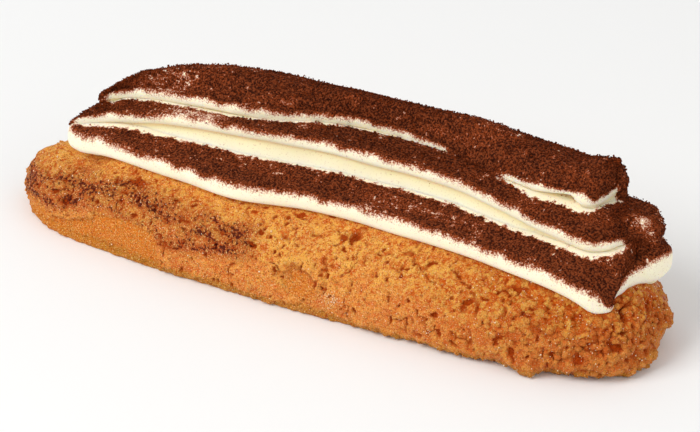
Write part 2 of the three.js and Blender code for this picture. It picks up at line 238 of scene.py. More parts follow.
# Crust detail that is finer than the solid's: widths, heights, and levels of a noise from 0 to 1. Crumb
# is given as pairs of width and height.
WARP_WIDTH = 1.9
CRUMB_WARP = 1.1
CRUMB_SIZES = ((0.9, 0.6), (0.5, 0.8), (0.3, 0.6))
SKIN_CRUMB = 0.2
COBBLE_WARP = 2.2
COBBLE_WIDTH = 2.5
COBBLE_LEAST = 0.6
COBBLE_VARIES = 0.8
COBBLE_FLOOR = 0.95
PEBBLE_WIDTH = 1.1
PEBBLE_SHARE = 0.4
FLAKE_WIDTH = 3.7
FLAKE_LEVELS = (0.47, 0.53)
FLAKE_STEP = 0.22
CRACK_LEVEL = 0.46
CRACK_SPREAD = 0.018
CRACK_DEPTH = 0.8
PIT_WIDTHS = (0.8, 0.8, 1.2)
PIT_LEVELS = (0.13, 0.22)
PIT_GAIN = 0.08
PIT_LEAST_DEPTH = 0.55
HOLE_WIDTHS = (1.2, 1.2, 1.5)
HOLE_LEVELS = (0.06, 0.15)
GAP_LEVELS = (0.55, 0.3)
MOIST_RANGE = (12, 62)
COBBLED_RANGE = (34, 62)
PRESSED = 0.3

# The rim along the foot, which fades out towards the left end
RIM_HEIGHT = 2.6
RIM_FADE = (0.55, 1)
RIM_BULGE = 0.1
RIM_LEFT_SHARE = 0.35
RIM_GROWS = (-58, -38)

# Scorched streaks: the x where they rise and fall, and each one's line in x and z
BURNT_RANGE = ((-73, -67), (-12, -5))
BURNT_FRONT = (5, -1)
BURNT_LEAST = 0.6
BURNT_STREAKS = (
    {
        "line": (
            (-66, 7.8), (-56, 10.4), (-43, 13.1), (-38, 13.9), (-33, 13.4), (-20, 12), (-15, 11.6),
            (-9, 12.3),
        ),
        "width": 2.4,
        "share": 1.15,
    },
    {
        "line": (
            (-61, 5.6), (-52, 8.5), (-44, 10.6), (-40, 10.2), (-36, 8.8), (-27, 7.3), (-22, 8),
            (-13, 9.6),
        ),
        "width": 1.9,
        "share": 0.75,
    },
)

# The largest pits in the crust: x, y, z and radius, and the shares of the radius that its border spans
MARKED_BORDER = (0.75, 1.1)
MARKED_PITS = (
    (8.5, -11.9, 15.6, 0.8), (-1.7, -10.2, 16.9, 0.8), (-4, -11.3, 16.4, 0.6), (-2, -13.2, 15.3, 0.5),
    (-8.1, -15, 13.5, 0.6), (28, -11, 15.5, 0.7), (36.7, -16.9, 10.6, 0.8), (42.3, -17.9, 9.6, 0.7),
    (40, -15.6, 13.1, 0.8), (44.7, -15.8, 12.3, 0.7), (52, -15.9, 11.4, 0.9), (52.5, -13.6, 13.9, 0.8),
    (56.6, -14.7, 11.4, 0.6), (50.2, -17.6, 8.3, 1.1), (56.3, -13, 14.3, 1),
)

# How much each form counts in the crust's colours, as matched: what makes it lighter, what makes it
# redder, and how much painted shade darkens the deep pit, in pit colour and in char colour
CRUMB_LIGHTENS = 0.8
COBBLE_MIDDLE = 0.72
COBBLE_TONES = 1.4
CURL_LIGHTENS = 0.7
BLUSH_WIDTHS = (7, 2)
BLUSH_VARIES = 0.35
BLUSH_LOW = 0.4
BLUSH_HEIGHTS = (15, 6)
BLUSH_LEVELS = (0.35, 0.8)
DEEP_PIT_PAINTED_SHADE = 1.2
DEEP_PIT_PAINTED_CHAR = 0.8
DEEP_PIT_LEVELS = (0.4, 0.9)

# What the crust's material reads from the bun's mesh, and the widths in mm of its patterns
CRUST_MASKS = ("relief", "hollow", "bare", "rim", "burnt_and_pit_shade", "moist", "blush")
CRUST_PATTERNS = {"grain": 0.4, "sand": 0.26, "prick": 0.3, "blotch": 1.6, "speck": 0.4, "char": 0.6}

# Loose crumbs and sugar: the heights they lie between, how crumbs are larger at the moist end and along
# the torn edge, their own tones, the share of bare skin at the torn edge, and a cluster of sugar where the
# crust glints. Sugar grains catch real glints, and their near-white colour also paints highlights.
CRUMB_SEED = 12
CRUMB_HEIGHTS = (0.8, 16.5)
CRUMB_SPREAD = 0.35
CRUMB_ROUGHNESS = 0.3
CRUMB_SINK = 0.6
CRUMB_SCALES = {"least": 0.8, "moist": 0.6, "torn": 0.4}
CRUMB_TONES = {"least": 0.35, "own": 0.6, "torn": 0.7}
TORN_SKIN = 0.22
TORN_SPREAD = 0.14
TORN_LEAST = 0.05
TORN_CRUMBS = 9
TORN_UNBURNT = 0.8
DRY_CRUMBS = 0.25
SUGAR_SPREAD = 0.3
SUGAR_ROUGHNESS = 0.2
DRY_SUGAR = 0.4
SKIN_LACKS_SUGAR = 0.8
SUGAR_GLINT_CLUSTER = (9.7, -18.6, 5.2)
SUGAR_GLINT_RADIUS = 1.6
SUGAR_GLINT_SHARE = 16

# A plan grid of the cream overhead, and looks up past it from a point
ROOF_CELL = 0.3
ROOF_MARGIN = 4
ROOF_CLEARANCE = 0.6
LOOK_DIRECTIONS = 8
NEAR_LOOKS = 0.8
WIDE_LOOKS = 2.2

# Painted shade on the folds: rows of a fold's profile that are tinted, the cove under its lip and the
# line along its crease, which fades between two places along the eclair
COVE_RISE_ROWS = (1, 11)
COVE_FADE_ROWS = (12, 18)
TUCKED_SKY = (0.5, 0)
TUCKED_SHARE = 0.3
CREASE_ROW = 13
CREASE_ROWS = 1.6
CREASE_OVERHANGS = (0.3, 0.8)
CREASE_FADE = 0.84
CREASE_FADES = (5, 40)

# The cream's ripples, and cocoa on the folds: its edge down a lip, its edge under a lip, spots where cream
# shows through, and places where it drapes lower. Cocoa powder is far finer than its patterns, which are
# as coarse as they need to be to show.
RIPPLE_WIDTHS = (9, 2.2, 2.2)
COCOA_PATTERNS = {"grain": 0.3, "clump": 0.4}
COCOA_STREAK = 0.4
COCOA_START_DEGREES = 35
COCOA_FRINGE = (-1.5, 1.4)
COCOA_FULL_LIP = 3
COCOA_LEAST_LIP = 0.25
COCOA_SKY = (0.12, 0.92)
COCOA_THINNED = 0.16
RAGGED_WIDTHS = (1.4, 0.6, 0.35)
RAGGED_HEIGHT = 0.55
MERGED_COVER = (0.4, 0.9)
CLUMP_SIZES = ((0.6, 1, 72), (1.4, 0.6, 73))
CLUMP_SHARE = 1.6
BARE_SPOTS = (
    {"x": 63, "y": 4.4, "turn": 17, "long": 2.3, "wide": 0.9, "share": 0.72, "even": 0.65},
    {"x": -30, "y": -3, "turn": 0, "long": 6, "wide": 1.4, "share": 0.75, "even": 0.6},
    {"x": -37, "y": 1, "turn": 20, "long": 9, "wide": 3, "share": 0.38, "even": 0.2},
    {"x": 28.3, "y": -5.8, "turn": 0, "long": 7, "wide": 1.2, "share": 0.55, "even": 0.2},
)
DRAPES = (
    {"x": 54.4, "y": 1.6, "radius": 0.9, "drop": 0.8},
    {"x": 63, "y": -8, "radius": 1.6, "drop": 2},
)

# Loose cocoa grains: which parts they lie on, and how their sizes, places and tones vary. A grain's tone
# is its own number and how thin the cocoa is under it, each times a share.
GRAIN_SEED = 11
GRAIN_LEAST_COVER = 0.06
GRAIN_SPREAD = 0.35
GRAIN_ROUGHNESS = 0.3
GRAIN_THIN_SIZE = 0.45
GRAIN_RAISE = 0.35
GRAIN_DRIFT = 0.1
GRAIN_TONES = {"own": 0.4, "thin": 0.7}
STRAY_GRAINS = 0.02
STRAY_SLOPE = 0.1

# The floor's half width in mm, and each light's name, place and size in metres
FLOOR_REACH = 2000
KEY_LIGHT = {"name": "key_light", "place": (-0.45, -0.75, 0.85), "size": 0.7}
FILL_LIGHT = {"name": "fill_light", "place": (0.9, -0.35, 0.5), "size": 0.8}

# The camera: angles of view in degrees, its distance, the point that it turns about and how far off that
# it aims, in mm
CAMERA_AZIMUTH = 29.2
CAMERA_ELEVATION = 30
CAMERA_DISTANCE = 600
CAMERA_FOCUS = (0, 0, 15)
CAMERA_OFF_CENTRE = (2.93, -2.73)
CAMERA_LENS = 158.1
CAMERA_NEAREST = 0.01
SENSOR_WIDTH = 36

# Whole numbers that mix the cells of a noise's lattice
LATTICE_FACTORS = np.array([374761393, 668265263, 1442695041], np.uint32)
LATTICE_MIXER = np.uint32(1274126177)
LATTICE_SALT = 97531

# Sockets of a colour mix: its share, the colour under, the colour over, and the output
MIX_SHARE = 0
MIX_UNDER = 6
MIX_OVER = 7
MIX_RESULT = 2


def linear(hex_colour):
    """An sRGB hex colour as linear red, green and blue, by the sRGB curve."""
    parts = np.array([int(hex_colour[k : k + 2], 16) for k in (1, 3, 5)]) / 255
    curved = np.where(parts <= 0.04045, parts / 12.92, ((parts + 0.055) / 1.055) ** 2.4)
    return tuple(float(part) for part in curved)


def colour_property(name, description, hex_colour):
    """A colour setting whose default is an sRGB hex colour."""
    return FloatVectorProperty(
        name=name, description=description, subtype="COLOR", size=3, min=0, max=1, default=linear(hex_colour)
    )


def length_property(name, description, millimetres):
    """A length setting whose default is given in millimetres."""
    return FloatProperty(
        name=name, description=description, unit="LENGTH", subtype="DISTANCE", min=0, default=millimetres * MM
    )


class EclairCrust(bpy.types.PropertyGroup):
    """The bun and its sugar crust."""

    cobble_height: length_property("Cobble height", "Height of the moist end's rounded lumps", 1.3)
    pit_depth: length_property("Pit depth", "Depth of the pits in the crust", 0.6)
    grain_height: length_property("Grain height", "Height of the crust's crumb", 0.24)
    gold: colour_property("Gold", "Raised sugar crust", "#efae4e")
    amber: colour_property("Amber", "Hollows of the sugar crust", "#cc5808")
    blush: colour_property("Blush", "Redder patches of the sugar crust", "#e07a38")
    moist: colour_property("Moist", "Coarse, moist crust at the blunt end", "#96520e")
    pale: colour_property("Pale", "Flecks of sugar in the crust", "#f6c882")
    # The pit colour also paints shade on the chip's step and in the deep pit
    pit: colour_property("Pit", "Inside the pits", "#a63c00")
    # The haze and burnt colours also paint shade in the deep pit, through the burnt mask
    haze: colour_property("Haze", "Browned crust round the scorched marks", "#9a3610")
    burnt_and_pit_shade: colour_property("Burnt", "Scorched marks", "#541408")
    skin: colour_property("Skin", "Bare choux skin under the crust", "#d07010")
    rim: colour_property("Rim", "Base rim that lay on the tray", "#b87a26")


class EclairCream(bpy.types.PropertyGroup):
    """The folds of piped cream."""

    ripple_height: length_property("Ripple height", "Height of the ripples along the piped folds", 0.22)
    ivory: colour_property("Ivory", "Mascarpone cream", "#fef1d6")
    # Butter is painted shade: a warmer, deeper cream tone in the coves under the lips
    butter: colour_property("Butter", "Deeper tone of the cream in its coves", "#fdebbc")
    # The crease colour is painted shade: a darker line under each overhanging lip
    crease: colour_property("Crease", "The line of shade under a lip", "#dcb570")


class EclairCocoa(bpy.types.PropertyGroup):
    """The cocoa dusted over the cream."""

    clump_height: length_property("Clump height", "Height of the powder's clumps on the cream", 0.16)
    grain_radius: length_property("Grain radius", "Mean radius of the loose cocoa grains", 0.13)
    grain_count: IntProperty(name="Grain count", description="Loose cocoa grains", min=1, default=22000)
    dark: colour_property("Dark", "Thick cocoa in its hollows", "#300f04")
    light: colour_property("Light", "Thick cocoa on its clumps", "#7b3a1c")
    thin: colour_property("Thin", "Thin cocoa over cream", "#ad4a1a")


class EclairCrumbs(bpy.types.PropertyGroup):
    """Loose crumbs and sugar on the crust."""

    crumb_radius: length_property("Crumb radius", "Mean radius of the crust's crumbs", 0.38)
    crumb_count: IntProperty(name="Crumb count", description="Crumbs on the crust", min=1, default=2600)
    sugar_radius: length_property("Sugar radius", "Mean radius of the sugar grains", 0.1)
    sugar_count: IntProperty(name="Sugar count", description="Sugar grains on the crust", min=1, default=2200)
    straw: colour_property("Straw", "Sugar stained by the crust", "#e9b56c")
    # Near-white sugar is partly the grains' own colour and partly painted highlight
    sugar: colour_property("Sugar", "Undissolved sugar", "#fff2dc")


class EclairStage(bpy.types.PropertyGroup):
    """The floor and the lights."""

    floor: colour_property("Floor", "Pale floor", "#f6f6f5")
    key_power: FloatProperty(name="Key power", description="Main light", unit="POWER", min=0, default=9)
    fill_power: FloatProperty(
        name="Fill power", description="Light from the right", unit="POWER", min=0, default=2
    )
    sky: FloatProperty(name="Sky", description="Strength of the light from all round", min=0, default=0.6)


class EclairSettings(bpy.types.PropertyGroup):
    """All settings of the eclair."""

    crust: PointerProperty(type=EclairCrust)
    cream: PointerProperty(type=EclairCream)
    cocoa: PointerProperty(type=EclairCocoa)
    crumbs: PointerProperty(type=EclairCrumbs)
    stage: PointerProperty(type=EclairStage)


def smoothstep(start, stop, value):
    """A smooth rise from 0 at start to 1 at stop: 3t squared less 2t cubed."""
    t = np.clip((value - start) / (stop - start), 0, 1)
    return t * t * (3 - 2 * t)


def between(low, high, share):
    """A value that goes straight from low at share 0 to high at share 1."""
    return low + (high - low) * share


def lattice_value(cells, salt=0):
    """A repeatable number from 0 to 1 for each lattice cell: its indices multiplied, added and mixed."""
    x, y, z = np.moveaxis(cells.astype(np.int64).astype(np.uint32), -1, 0)
    x_factor, y_factor, z_factor = LATTICE_FACTORS
    mixed = x * x_factor + y * y_factor + z * z_factor + np.uint32(salt * LATTICE_SALT)
    mixed = (mixed ^ (mixed >> np.uint32(13))) * LATTICE_MIXER
    return (mixed ^ (mixed >> np.uint32(16))) / 2.0**32


def noise(points, width, salt=0):
    """Smooth noise from 0 to 1: lattice values a width apart, blended through the cell round each point."""
    scaled = points / np.asarray(width, float)
    cell = np.floor(scaled)
    share = smoothstep(0, 1, scaled - cell)
    total = 0
    for corner in itertools.product((0, 1), repeat=3):
        weight = np.prod(np.where(np.array(corner) == 1, share, 1 - share), axis=-1)
        total = total + weight * lattice_value(cell + corner, salt)
    return total


def swing(points, width, height, salt=0):
    """Noise that swings by half a height to either side of nought."""
    return height * (noise(points, width, salt) - 0.5)


def patches(points, width, levels, salt):
    """Patches of a noise: 0 under the first of two levels, 1 over the second."""
    return smoothstep(*levels, noise(points, width, salt))


def bell(distance):
    """A bell curve: 1 at nought, and e to the power of minus the distance squared elsewhere."""
    return np.exp(-(distance**2))


def nearest_lump(points, width, salt):
    """Domes round scattered centres, one in each lattice cell: 1 less the squared distance to the nearest.

    It also returns the nearest centre's own number from 0 to 1.
    """
    scaled = points / width
    cell = np.floor(scaled)
    nearest = np.full(points.shape[:-1], np.inf)
    number = np.zeros(points.shape[:-1])
    for step in itertools.product((-1, 0, 1), repeat=3):
        near = cell + step
        centre = near + np.stack([lattice_value(near, salt + k) for k in range(3)], axis=-1)
        away = np.sum((scaled - centre) ** 2, axis=-1)
        number = np.where(away < nearest, lattice_value(near, salt + 3), number)
        nearest = np.minimum(nearest, away)
    return 1 - nearest, number


def smooth_cubic(a, b, c, d, f):
    """The cubic from b to c at share f whose slope at either is half the step between its neighbours."""
    square = 2 * a - 5 * b + 4 * c - d
    cube = 3 * b - a - 3 * c + d
    return 0.5 * (2 * b + (c - a) * f + square * f**2 + cube * f**3)


def even_loop(curve, count):
    """Rows spaced evenly in plan along a closed curve of a share from 0 to 1, by interpolating its length."""
    fine = curve((np.arange(FINE_SAMPLES + 1) / FINE_SAMPLES) % 1)
    steps = np.hypot(*np.diff(fine[:, :2], axis=0).T)
    along = np.concatenate([[0], np.cumsum(steps)])
    want = along[-1] * np.arange(count) / count
    return np.stack([np.interp(want, along, column) for column in fine.T], axis=-1)


def at_heights(plan, heights):
    """The points of a plan, each put at its height."""
    return np.concatenate([plan, heights[..., None]], axis=-1)


def grid_normals(rings):
    """Outward unit normals of stacked rings: the step round a ring crossed with the step up the stack."""
    around = np.roll(rings, -1, axis=1) - np.roll(rings, 1, axis=1)
    up = np.gradient(rings, axis=0)
    normals = np.cross(around, up)
    return normals / np.maximum(np.linalg.norm(normals, axis=-1, keepdims=True), 1e-9)


def bun_bend(x):
    """How far the bun's left end swings to the front at x: a smooth rise from the start of the slump."""
    return -SLUMP_BEND * smoothstep(SLUMP_START, -BUN_LENGTH / 2, x)


def bun_outline(share):
    """The bun's widest line in plan: a squared ellipse whose power and roundness differ at its ends."""
    angle = 2 * np.pi * share
    x = -BUN_LENGTH / 2 * np.cos(angle)
    power = np.where(x < 0, BUN_LEFT_END["power"], BUN_RIGHT_END["power"])
    roundness = np.where(x < 0, BUN_LEFT_END["roundness"], BUN_RIGHT_END["roundness"])
    width = np.maximum(0, 1 - np.abs(np.cos(angle)) ** power) ** (1 / roundness)
    return np.stack([x, bun_bend(x) - np.sign(np.sin(angle)) * BUN_WIDTH / 2 * width], axis=-1)


def bun_rings():
    """The smooth bun: a quarter ellipse from the widest line down to the base, and one up to the crown."""
    edge = even_loop(bun_outline, BUN_STEPS_ROUND)
    held = np.clip(edge[:, 0], *BUN_CROWN_ENDS)
    slump = smoothstep(SLUMP_START, BUN_CROWN_ENDS[0], held)
    crown = np.stack([held, -SLUMP_CROWN_BEND * slump], axis=-1)
    crown_height = BUN_CROWN - SLUMP_CROWN * slump
    widest = BUN_WIDEST - SLUMP_WIDEST * smoothstep(SLUMP_START, -BUN_LENGTH / 2, edge[:, 0])
    inward = crown - edge
    reach = np.linalg.norm(inward, axis=-1)
    inward = inward / reach[:, None]
    blend = smoothstep(0, BASE_INSET_END, edge[:, 0])
    tip = smoothstep(BUN_CROWN_ENDS[0], -BUN_LENGTH / 2, edge[:, 0])
    base_inset = between(BASE_INSET_LEFT, BASE_INSET_RIGHT, blend) + BASE_INSET_TIP * tip
    angle = np.radians(BUN_DEGREES)[:, None]
    below = angle < 0
    inset = np.where(below, base_inset, reach) * (1 - np.cos(angle))
    height = widest + np.where(below, widest, crown_height - widest) * np.sin(angle)
    return at_heights(edge + inward * inset[..., None], height)


def bare_edge(points):
    """Height of the crust's lower edge, 0 where it reaches the base.

    It is a shelf with a bell-shaped hump on the front, and a shelf at the back.
    """
    x = points[..., 0]
    side = points[..., 1] - bun_bend(x)
    front = BARE_FRONT
    hump = front["hump"] * bell((x - front["hump_x"]) / front["hump_width"])
    front_edge = (front["height"] + hump) * smoothstep(front["begins"], front["full"], x)
    back_edge = BARE_BACK["height"] * smoothstep(BARE_BACK["begins"], BARE_BACK["full"], x)
    on_front = smoothstep(-BARE_SIDE_FADE, 0, -side)
    on_back = smoothstep(-BARE_SIDE_FADE, 0, side)
    return np.maximum(front_edge * on_front, back_edge * on_back)


def bare_skin(points):
    """How much crust is gone, the step at the chip's upper edge, and the curled crust above.

    Skin shows below the crust's ragged lower edge and in the chip, an ellipse with a ragged border. The
    step and the curl are bells across the distance from the chip's middle. The step is cut in and darkened
    with painted shade.
    """
    x, y, z = np.moveaxis(points, -1, 0)
    shifted = points.copy()
    shifted[..., 0] += swing(points, width=3.4, height=4, salt=5)
    edge = bare_edge(shifted)
    ragged = swing(points, width=2.6, height=3, salt=1) + swing(points, width=0.8, height=1.8, salt=2)
    below = 1 - smoothstep(-BARE_FADE, BARE_FADE, z - edge - ragged)
    from_chip = np.hypot((x - CHIP["x"]) / CHIP["length"], (z - CHIP["z"]) / CHIP["height"])
    from_chip = np.where(y > 0, np.inf, from_chip + CHIP["fray"] * ragged)
    chipped = CHIP["share"] * (1 - smoothstep(*CHIP["border"], from_chip))
    bare = np.maximum(below * np.clip(edge / BARE_FULL_HEIGHT, 0, 1), chipped)
    step = bell((from_chip - CHIP["step"]) / CHIP["step_spread"])
    curl = bell((from_chip - CHIP["curl"]) / CHIP["curl_spread"])
    above = z - CHIP["z"]
    return bare, step * smoothstep(*CHIP["step_rise"], above), curl * smoothstep(*CHIP["curl_rise"], above)


def burnt_mask(points):
    """Scorched streaks on the front of the left half: bells across two lines, thinned by a noise."""
    x, y, z = np.moveaxis(points, -1, 0)
    rises, falls = BURNT_RANGE
    along = smoothstep(*rises, x) * (1 - smoothstep(*falls, x))
    wander = swing(points, width=4, height=0.9, salt=21)
    bands = 0
    for streak in BURNT_STREAKS:
        height = np.interp(x, *zip(*streak["line"]))
        bands = bands + streak["share"] * bell((z + wander - height) / streak["width"])
    clusters = patches(points, width=(4, 2, 1.6), levels=(0.3, 0.7), salt=22)
    on_front = smoothstep(*BURNT_FRONT, y - bun_bend(x))
    return np.clip(bands, 0, 1) * along * between(BURNT_LEAST, 1, clusters) * on_front


def crust_hollows(points, warped, moist, cobbled, cobble):
    """How hollow the crust is, from 0 to 1: fine pits, holes, gaps between cobbles, and the marked pits.

    Pits and holes are where a noise is low. Pits are commoner in patches and towards the moist end.
    """
    more = PIT_GAIN * (patches(points, width=6, levels=(0.4, 0.7), salt=34) + moist)
    pit = 1 - smoothstep(*PIT_LEVELS, noise(warped, PIT_WIDTHS, salt=30) - more)
    hole = 1 - patches(warped, HOLE_WIDTHS, HOLE_LEVELS, salt=31)
    gap = cobbled * smoothstep(*GAP_LEVELS, cobble) * patches(points, width=1.3, levels=(0.3, 0.6), salt=32)
    frayed = swing(points, width=0.7, height=0.9, salt=36)
    for *middle, radius in MARKED_PITS:
        away = np.linalg.norm(points - middle, axis=-1) / radius
        hole = np.maximum(hole, 1 - smoothstep(*MARKED_BORDER, away + frayed))
    varied = patches(points, width=1.7, levels=(0.3, 0.65), salt=37)
    return np.clip(pit + hole + gap, 0, 1) * between(PIT_LEAST_DEPTH, 1, varied)


def crust_lumps(points, cobbled):
    """Cobbles and pebbles at the moist end, 1 at their middles, and a number that varies their height."""
    cobble, pebble = np.zeros_like(cobbled), np.zeros_like(cobbled)
    own = np.full_like(cobbled, 0.5)
    lumpy = cobbled > 0
    cobble[lumpy], cobble_number = nearest_lump(points[lumpy], COBBLE_WIDTH, salt=10)
    pebble[lumpy], pebble_number = nearest_lump(points[lumpy], PEBBLE_WIDTH, salt=20)
    own[lumpy] = (cobble_number + pebble_number) / 2
    return cobble, pebble, own


def base_rim(points, warped):
    """The rim that lay on the tray: its share from 0 to 1, and its bubbles, half a sine up its height."""
    z = points[..., 2]
    top = RIM_HEIGHT * (1 + swing(points, width=3.1, height=0.6, salt=6))
    grown = between(RIM_LEFT_SHARE, 1, smoothstep(*RIM_GROWS, points[..., 0]))
    rim = (1 - smoothstep(*RIM_FADE, z / top)) * grown
    bubbles = swing(warped, width=0.9, height=1, salt=7) + swing(points, width=0.5, height=0.4, salt=8)
    shelf = np.sin(np.pi * np.clip(z / RIM_HEIGHT, 0, 1)) ** 0.7
    return rim, (RIM_BULGE + bubbles) * shelf * (z < RIM_HEIGHT)


def crust_relief(points, settings):
    """How far the crust stands out, in mm, and the masks that its material reads.

    Crags and lumps are smooth noise, as in the solid. Crumb is three finer noises added, flakes are low
    steps at a level of a noise, and cracks are bells across another level of it.
    """
    x, y, z = np.moveaxis(points, -1, 0)
    moist = smoothstep(*MOIST_RANGE, x)
    cobbled = smoothstep(*COBBLED_RANGE, x)
    bare, chip_step, chip_curl = bare_skin(points)
    crusted = 1 - bare
    warp = np.stack([swing(points, WARP_WIDTH, 1, salt) for salt in (81, 82, 83)], axis=-1)
    warped = points + CRUMB_WARP * warp

    crag = swing(points, CRAG_WIDTH, CRAG_HEIGHT)
    lump = swing(points, LUMP_WIDTH, LUMP_HEIGHT) * between(DRY_LUMPS, 1, moist)
    from_pit = np.hypot(x - DEEP_PIT["x"], y - DEEP_PIT["y"]) / DEEP_PIT["radius"]
    deep = 1 - smoothstep(0, 1, from_pit + swing(points, width=1.1, height=0.5, salt=3))
    from_knob = np.hypot(x - KNOB["x"], z - KNOB["z"]) / KNOB["radius"]
    knob = KNOB["height"] * (1 - smoothstep(0, 1, from_knob)) * (y < 0)

    crumb = sum(swing(warped, width, height, salt=9) for width, height in CRUMB_SIZES)
    cobble, pebble, own = crust_lumps(points + COBBLE_WARP * warp, cobbled)
    domes = (COBBLE_LEAST + COBBLE_VARIES * own) * cobble + PEBBLE_SHARE * pebble - COBBLE_FLOOR
    level = noise(warped, FLAKE_WIDTH, salt=4)
    flake = smoothstep(*FLAKE_LEVELS, level) - 0.5
    cracked = patches(points, width=3.1, levels=(0.55, 0.7), salt=33)
    crack = bell((level - CRACK_LEVEL) / CRACK_SPREAD) * cracked
    hollow = (crust_hollows(points, warped, moist, cobbled, cobble) + CRACK_DEPTH * crack) * crusted
    # The chip's step puts painted shade into the hollow mask, which also cuts the step in
    hollow = np.clip(hollow + CHIP["step_shade"] * chip_step, 0, 1)

    out = crag + lump + knob - DEEP_PIT["depth"] * deep - SKIN_DEPTH * bare + CHIP["rise"] * chip_curl
    out = out + FLAKE_STEP * flake * crusted * (1 - moist)
    out = out + settings.cobble_height / MM * domes * cobbled * crusted
    out = out + settings.grain_height / MM * crumb * (crusted + SKIN_CRUMB * bare)
    out = out - settings.pit_depth / MM * hollow
    out = out * smoothstep(0, between(RELIEF_RISE, MOIST_RISE, moist), z)
    rim, bubbles = base_rim(points, warped)

    lumpy_tone = cobbled * (cobble - COBBLE_MIDDLE + COBBLE_TONES * (own - 0.5))
    raised = CRUMB_LIGHTENS * crumb + lumpy_tone + CURL_LIGHTENS * chip_curl
    wide, narrow = BLUSH_WIDTHS
    reddened = BLUSH_VARIES * (noise(points, wide, salt=38) + noise(points, narrow, salt=39))
    reddened = reddened + BLUSH_LOW * smoothstep(*BLUSH_HEIGHTS, z)
    # The deep pit's char colour is painted shade, on top of the pit colour it gets as painted shade below
    scorched = DEEP_PIT_PAINTED_CHAR * smoothstep(*DEEP_PIT_LEVELS, deep)
    # The hollow mask holds the pits' own colour and painted shade on the chip's step and in the deep pit. The
    # burnt mask holds the scorched streaks and painted shade in the deep pit.
    masks = {
        "relief": np.clip(0.5 + raised, 0, 1),
        "hollow": np.clip(hollow + DEEP_PIT_PAINTED_SHADE * deep, 0, 1),
        "bare": bare,
        "rim": rim,
        "burnt_and_pit_shade": np.maximum(burnt_mask(points) * crusted, scorched),
        "moist": moist,
        "blush": smoothstep(*BLUSH_LEVELS, reddened),
    }
    return out + bubbles, masks


def fold_rings(fold, ground):
    """One smooth fold as stacked rings, and how far its lip overhangs all round.

    A hollow cove runs from the foot to the lip: a smooth cubic that leaves the foot level and goes
    through the crease and the lip's underside. A lip that doesn't overhang slopes out to the ground
    instead. The lip is half a squared ellipse. The top goes straight to the crest line in plan, and its
    height eases as one less the square of what is left.
    """
    rows = np.array(fold["edge"])
    count = len(rows)

    def closed(share):
        place = share * count
        index = np.floor(place).astype(int)
        neighbours = [rows[(index + k) % count] for k in (-1, 0, 1, 2)]
        return smooth_cubic(*neighbours, (place - index)[:, None])

    outline = even_loop(closed, FOLD_STEPS_ROUND)
    crest = crest_points(fold["crest"], outline[:, 0])
    inward = crest[:, :2] - outline[:, :2]
    inward = inward / np.linalg.norm(inward, axis=-1, keepdims=True)
    height, thick, over = outline[:, 2], outline[:, 3], np.clip(outline[:, 4], 0, 1)

    def ring(inset, level):
        return at_heights(outline[:, :2] + inward * inset[:, None], level)

    def lip(degrees):
        across, rise = np.cos(np.radians(degrees)), np.sin(np.radians(degrees))
        reach = LIP_REACH if degrees > 0 else LIP_UNDERCUT * over - LIP_FLARE * (1 - over)
        inset = reach * thick * (1 - np.maximum(across, 0) ** LIP_SQUARENESS)
        return ring(inset, height + thick / 2 * np.sign(rise) * np.abs(rise) ** LIP_SQUARENESS)

    def ground_under(inset):
        level = heights_over(outline[:, :2] + inward * inset[:, None], *ground)
        return np.mean([np.roll(level, k) for k in range(-EVENED_STEPS, EVENED_STEPS + 1)], axis=0)

    drop = np.clip(height - ground_under(np.zeros_like(height)), *MERGED_DROPS)
    merged = 1 - over
    at_back = smoothstep(*BACK_TURN, -inward[:, 1])
    foot_inset = np.maximum(fold["foot_inset"], BACK_INSET * at_back)
    crease_inset = np.maximum(fold["crease"], BACK_CREASE * at_back)
    resting = ground_under(foot_inset) - fold["sink"]
    middle, width, depth = fold["undercut"]
    undercut = depth * bell((outline[:, 0] - middle) / width) * (inward[:, 1] > 0)
    foot = ring(
        (foot_inset + undercut) * over - MERGED_FLARE * drop * merged,
        resting * over + (height - drop - MERGED_SINK) * merged,
    )
    crease = ring(
        (crease_inset + undercut) * over - 0.5 * MERGED_FLARE * drop * merged,
        height - thick * fold["wall_drop"] * over - 0.5 * drop * merged,
    )
    shares = np.arange(COVE_STEPS) / COVE_STEPS
    before = at_heights((2 * foot - crease)[:, :2], crease[:, 2])
    cove = [smooth_cubic(before, foot, crease, lip(-90), f) for f in shares]
    cove += [smooth_cubic(foot, crease, lip(-90), lip(-60), f) for f in shares]
    lips = [lip(degrees) for degrees in LIP_DEGREES]
    tops = []
    for share in TOP_SHARES:
        eased = 1 - (1 - share) ** 2
        plan = lips[-1][:, :2] + (crest[:, :2] - lips[-1][:, :2]) * share
        level = lips[-1][:, 2] + (crest[:, 2] - lips[-1][:, 2]) * eased
        tops.append(at_heights(plan, level))
    return np.stack(cove + lips + tops), over


def crest_points(rows, x):
    """The crest line's points above each x: smooth cubics through its rows, held at its ends."""
    rows = np.array(rows, float)
    padded = np.vstack([2 * rows[0] - rows[1], rows, 2 * rows[-1] - rows[-2]])
    place = np.linspace(0, len(rows) - 1, FINE_SAMPLES)
    index = np.minimum(np.floor(place).astype(int), len(rows) - 2)
    spans = [padded[index + k] for k in range(4)]
    fine = smooth_cubic(*spans, (place - index)[:, None])
    return np.stack([np.interp(x, fine[:, 0], column) for column in fine.T], axis=-1)


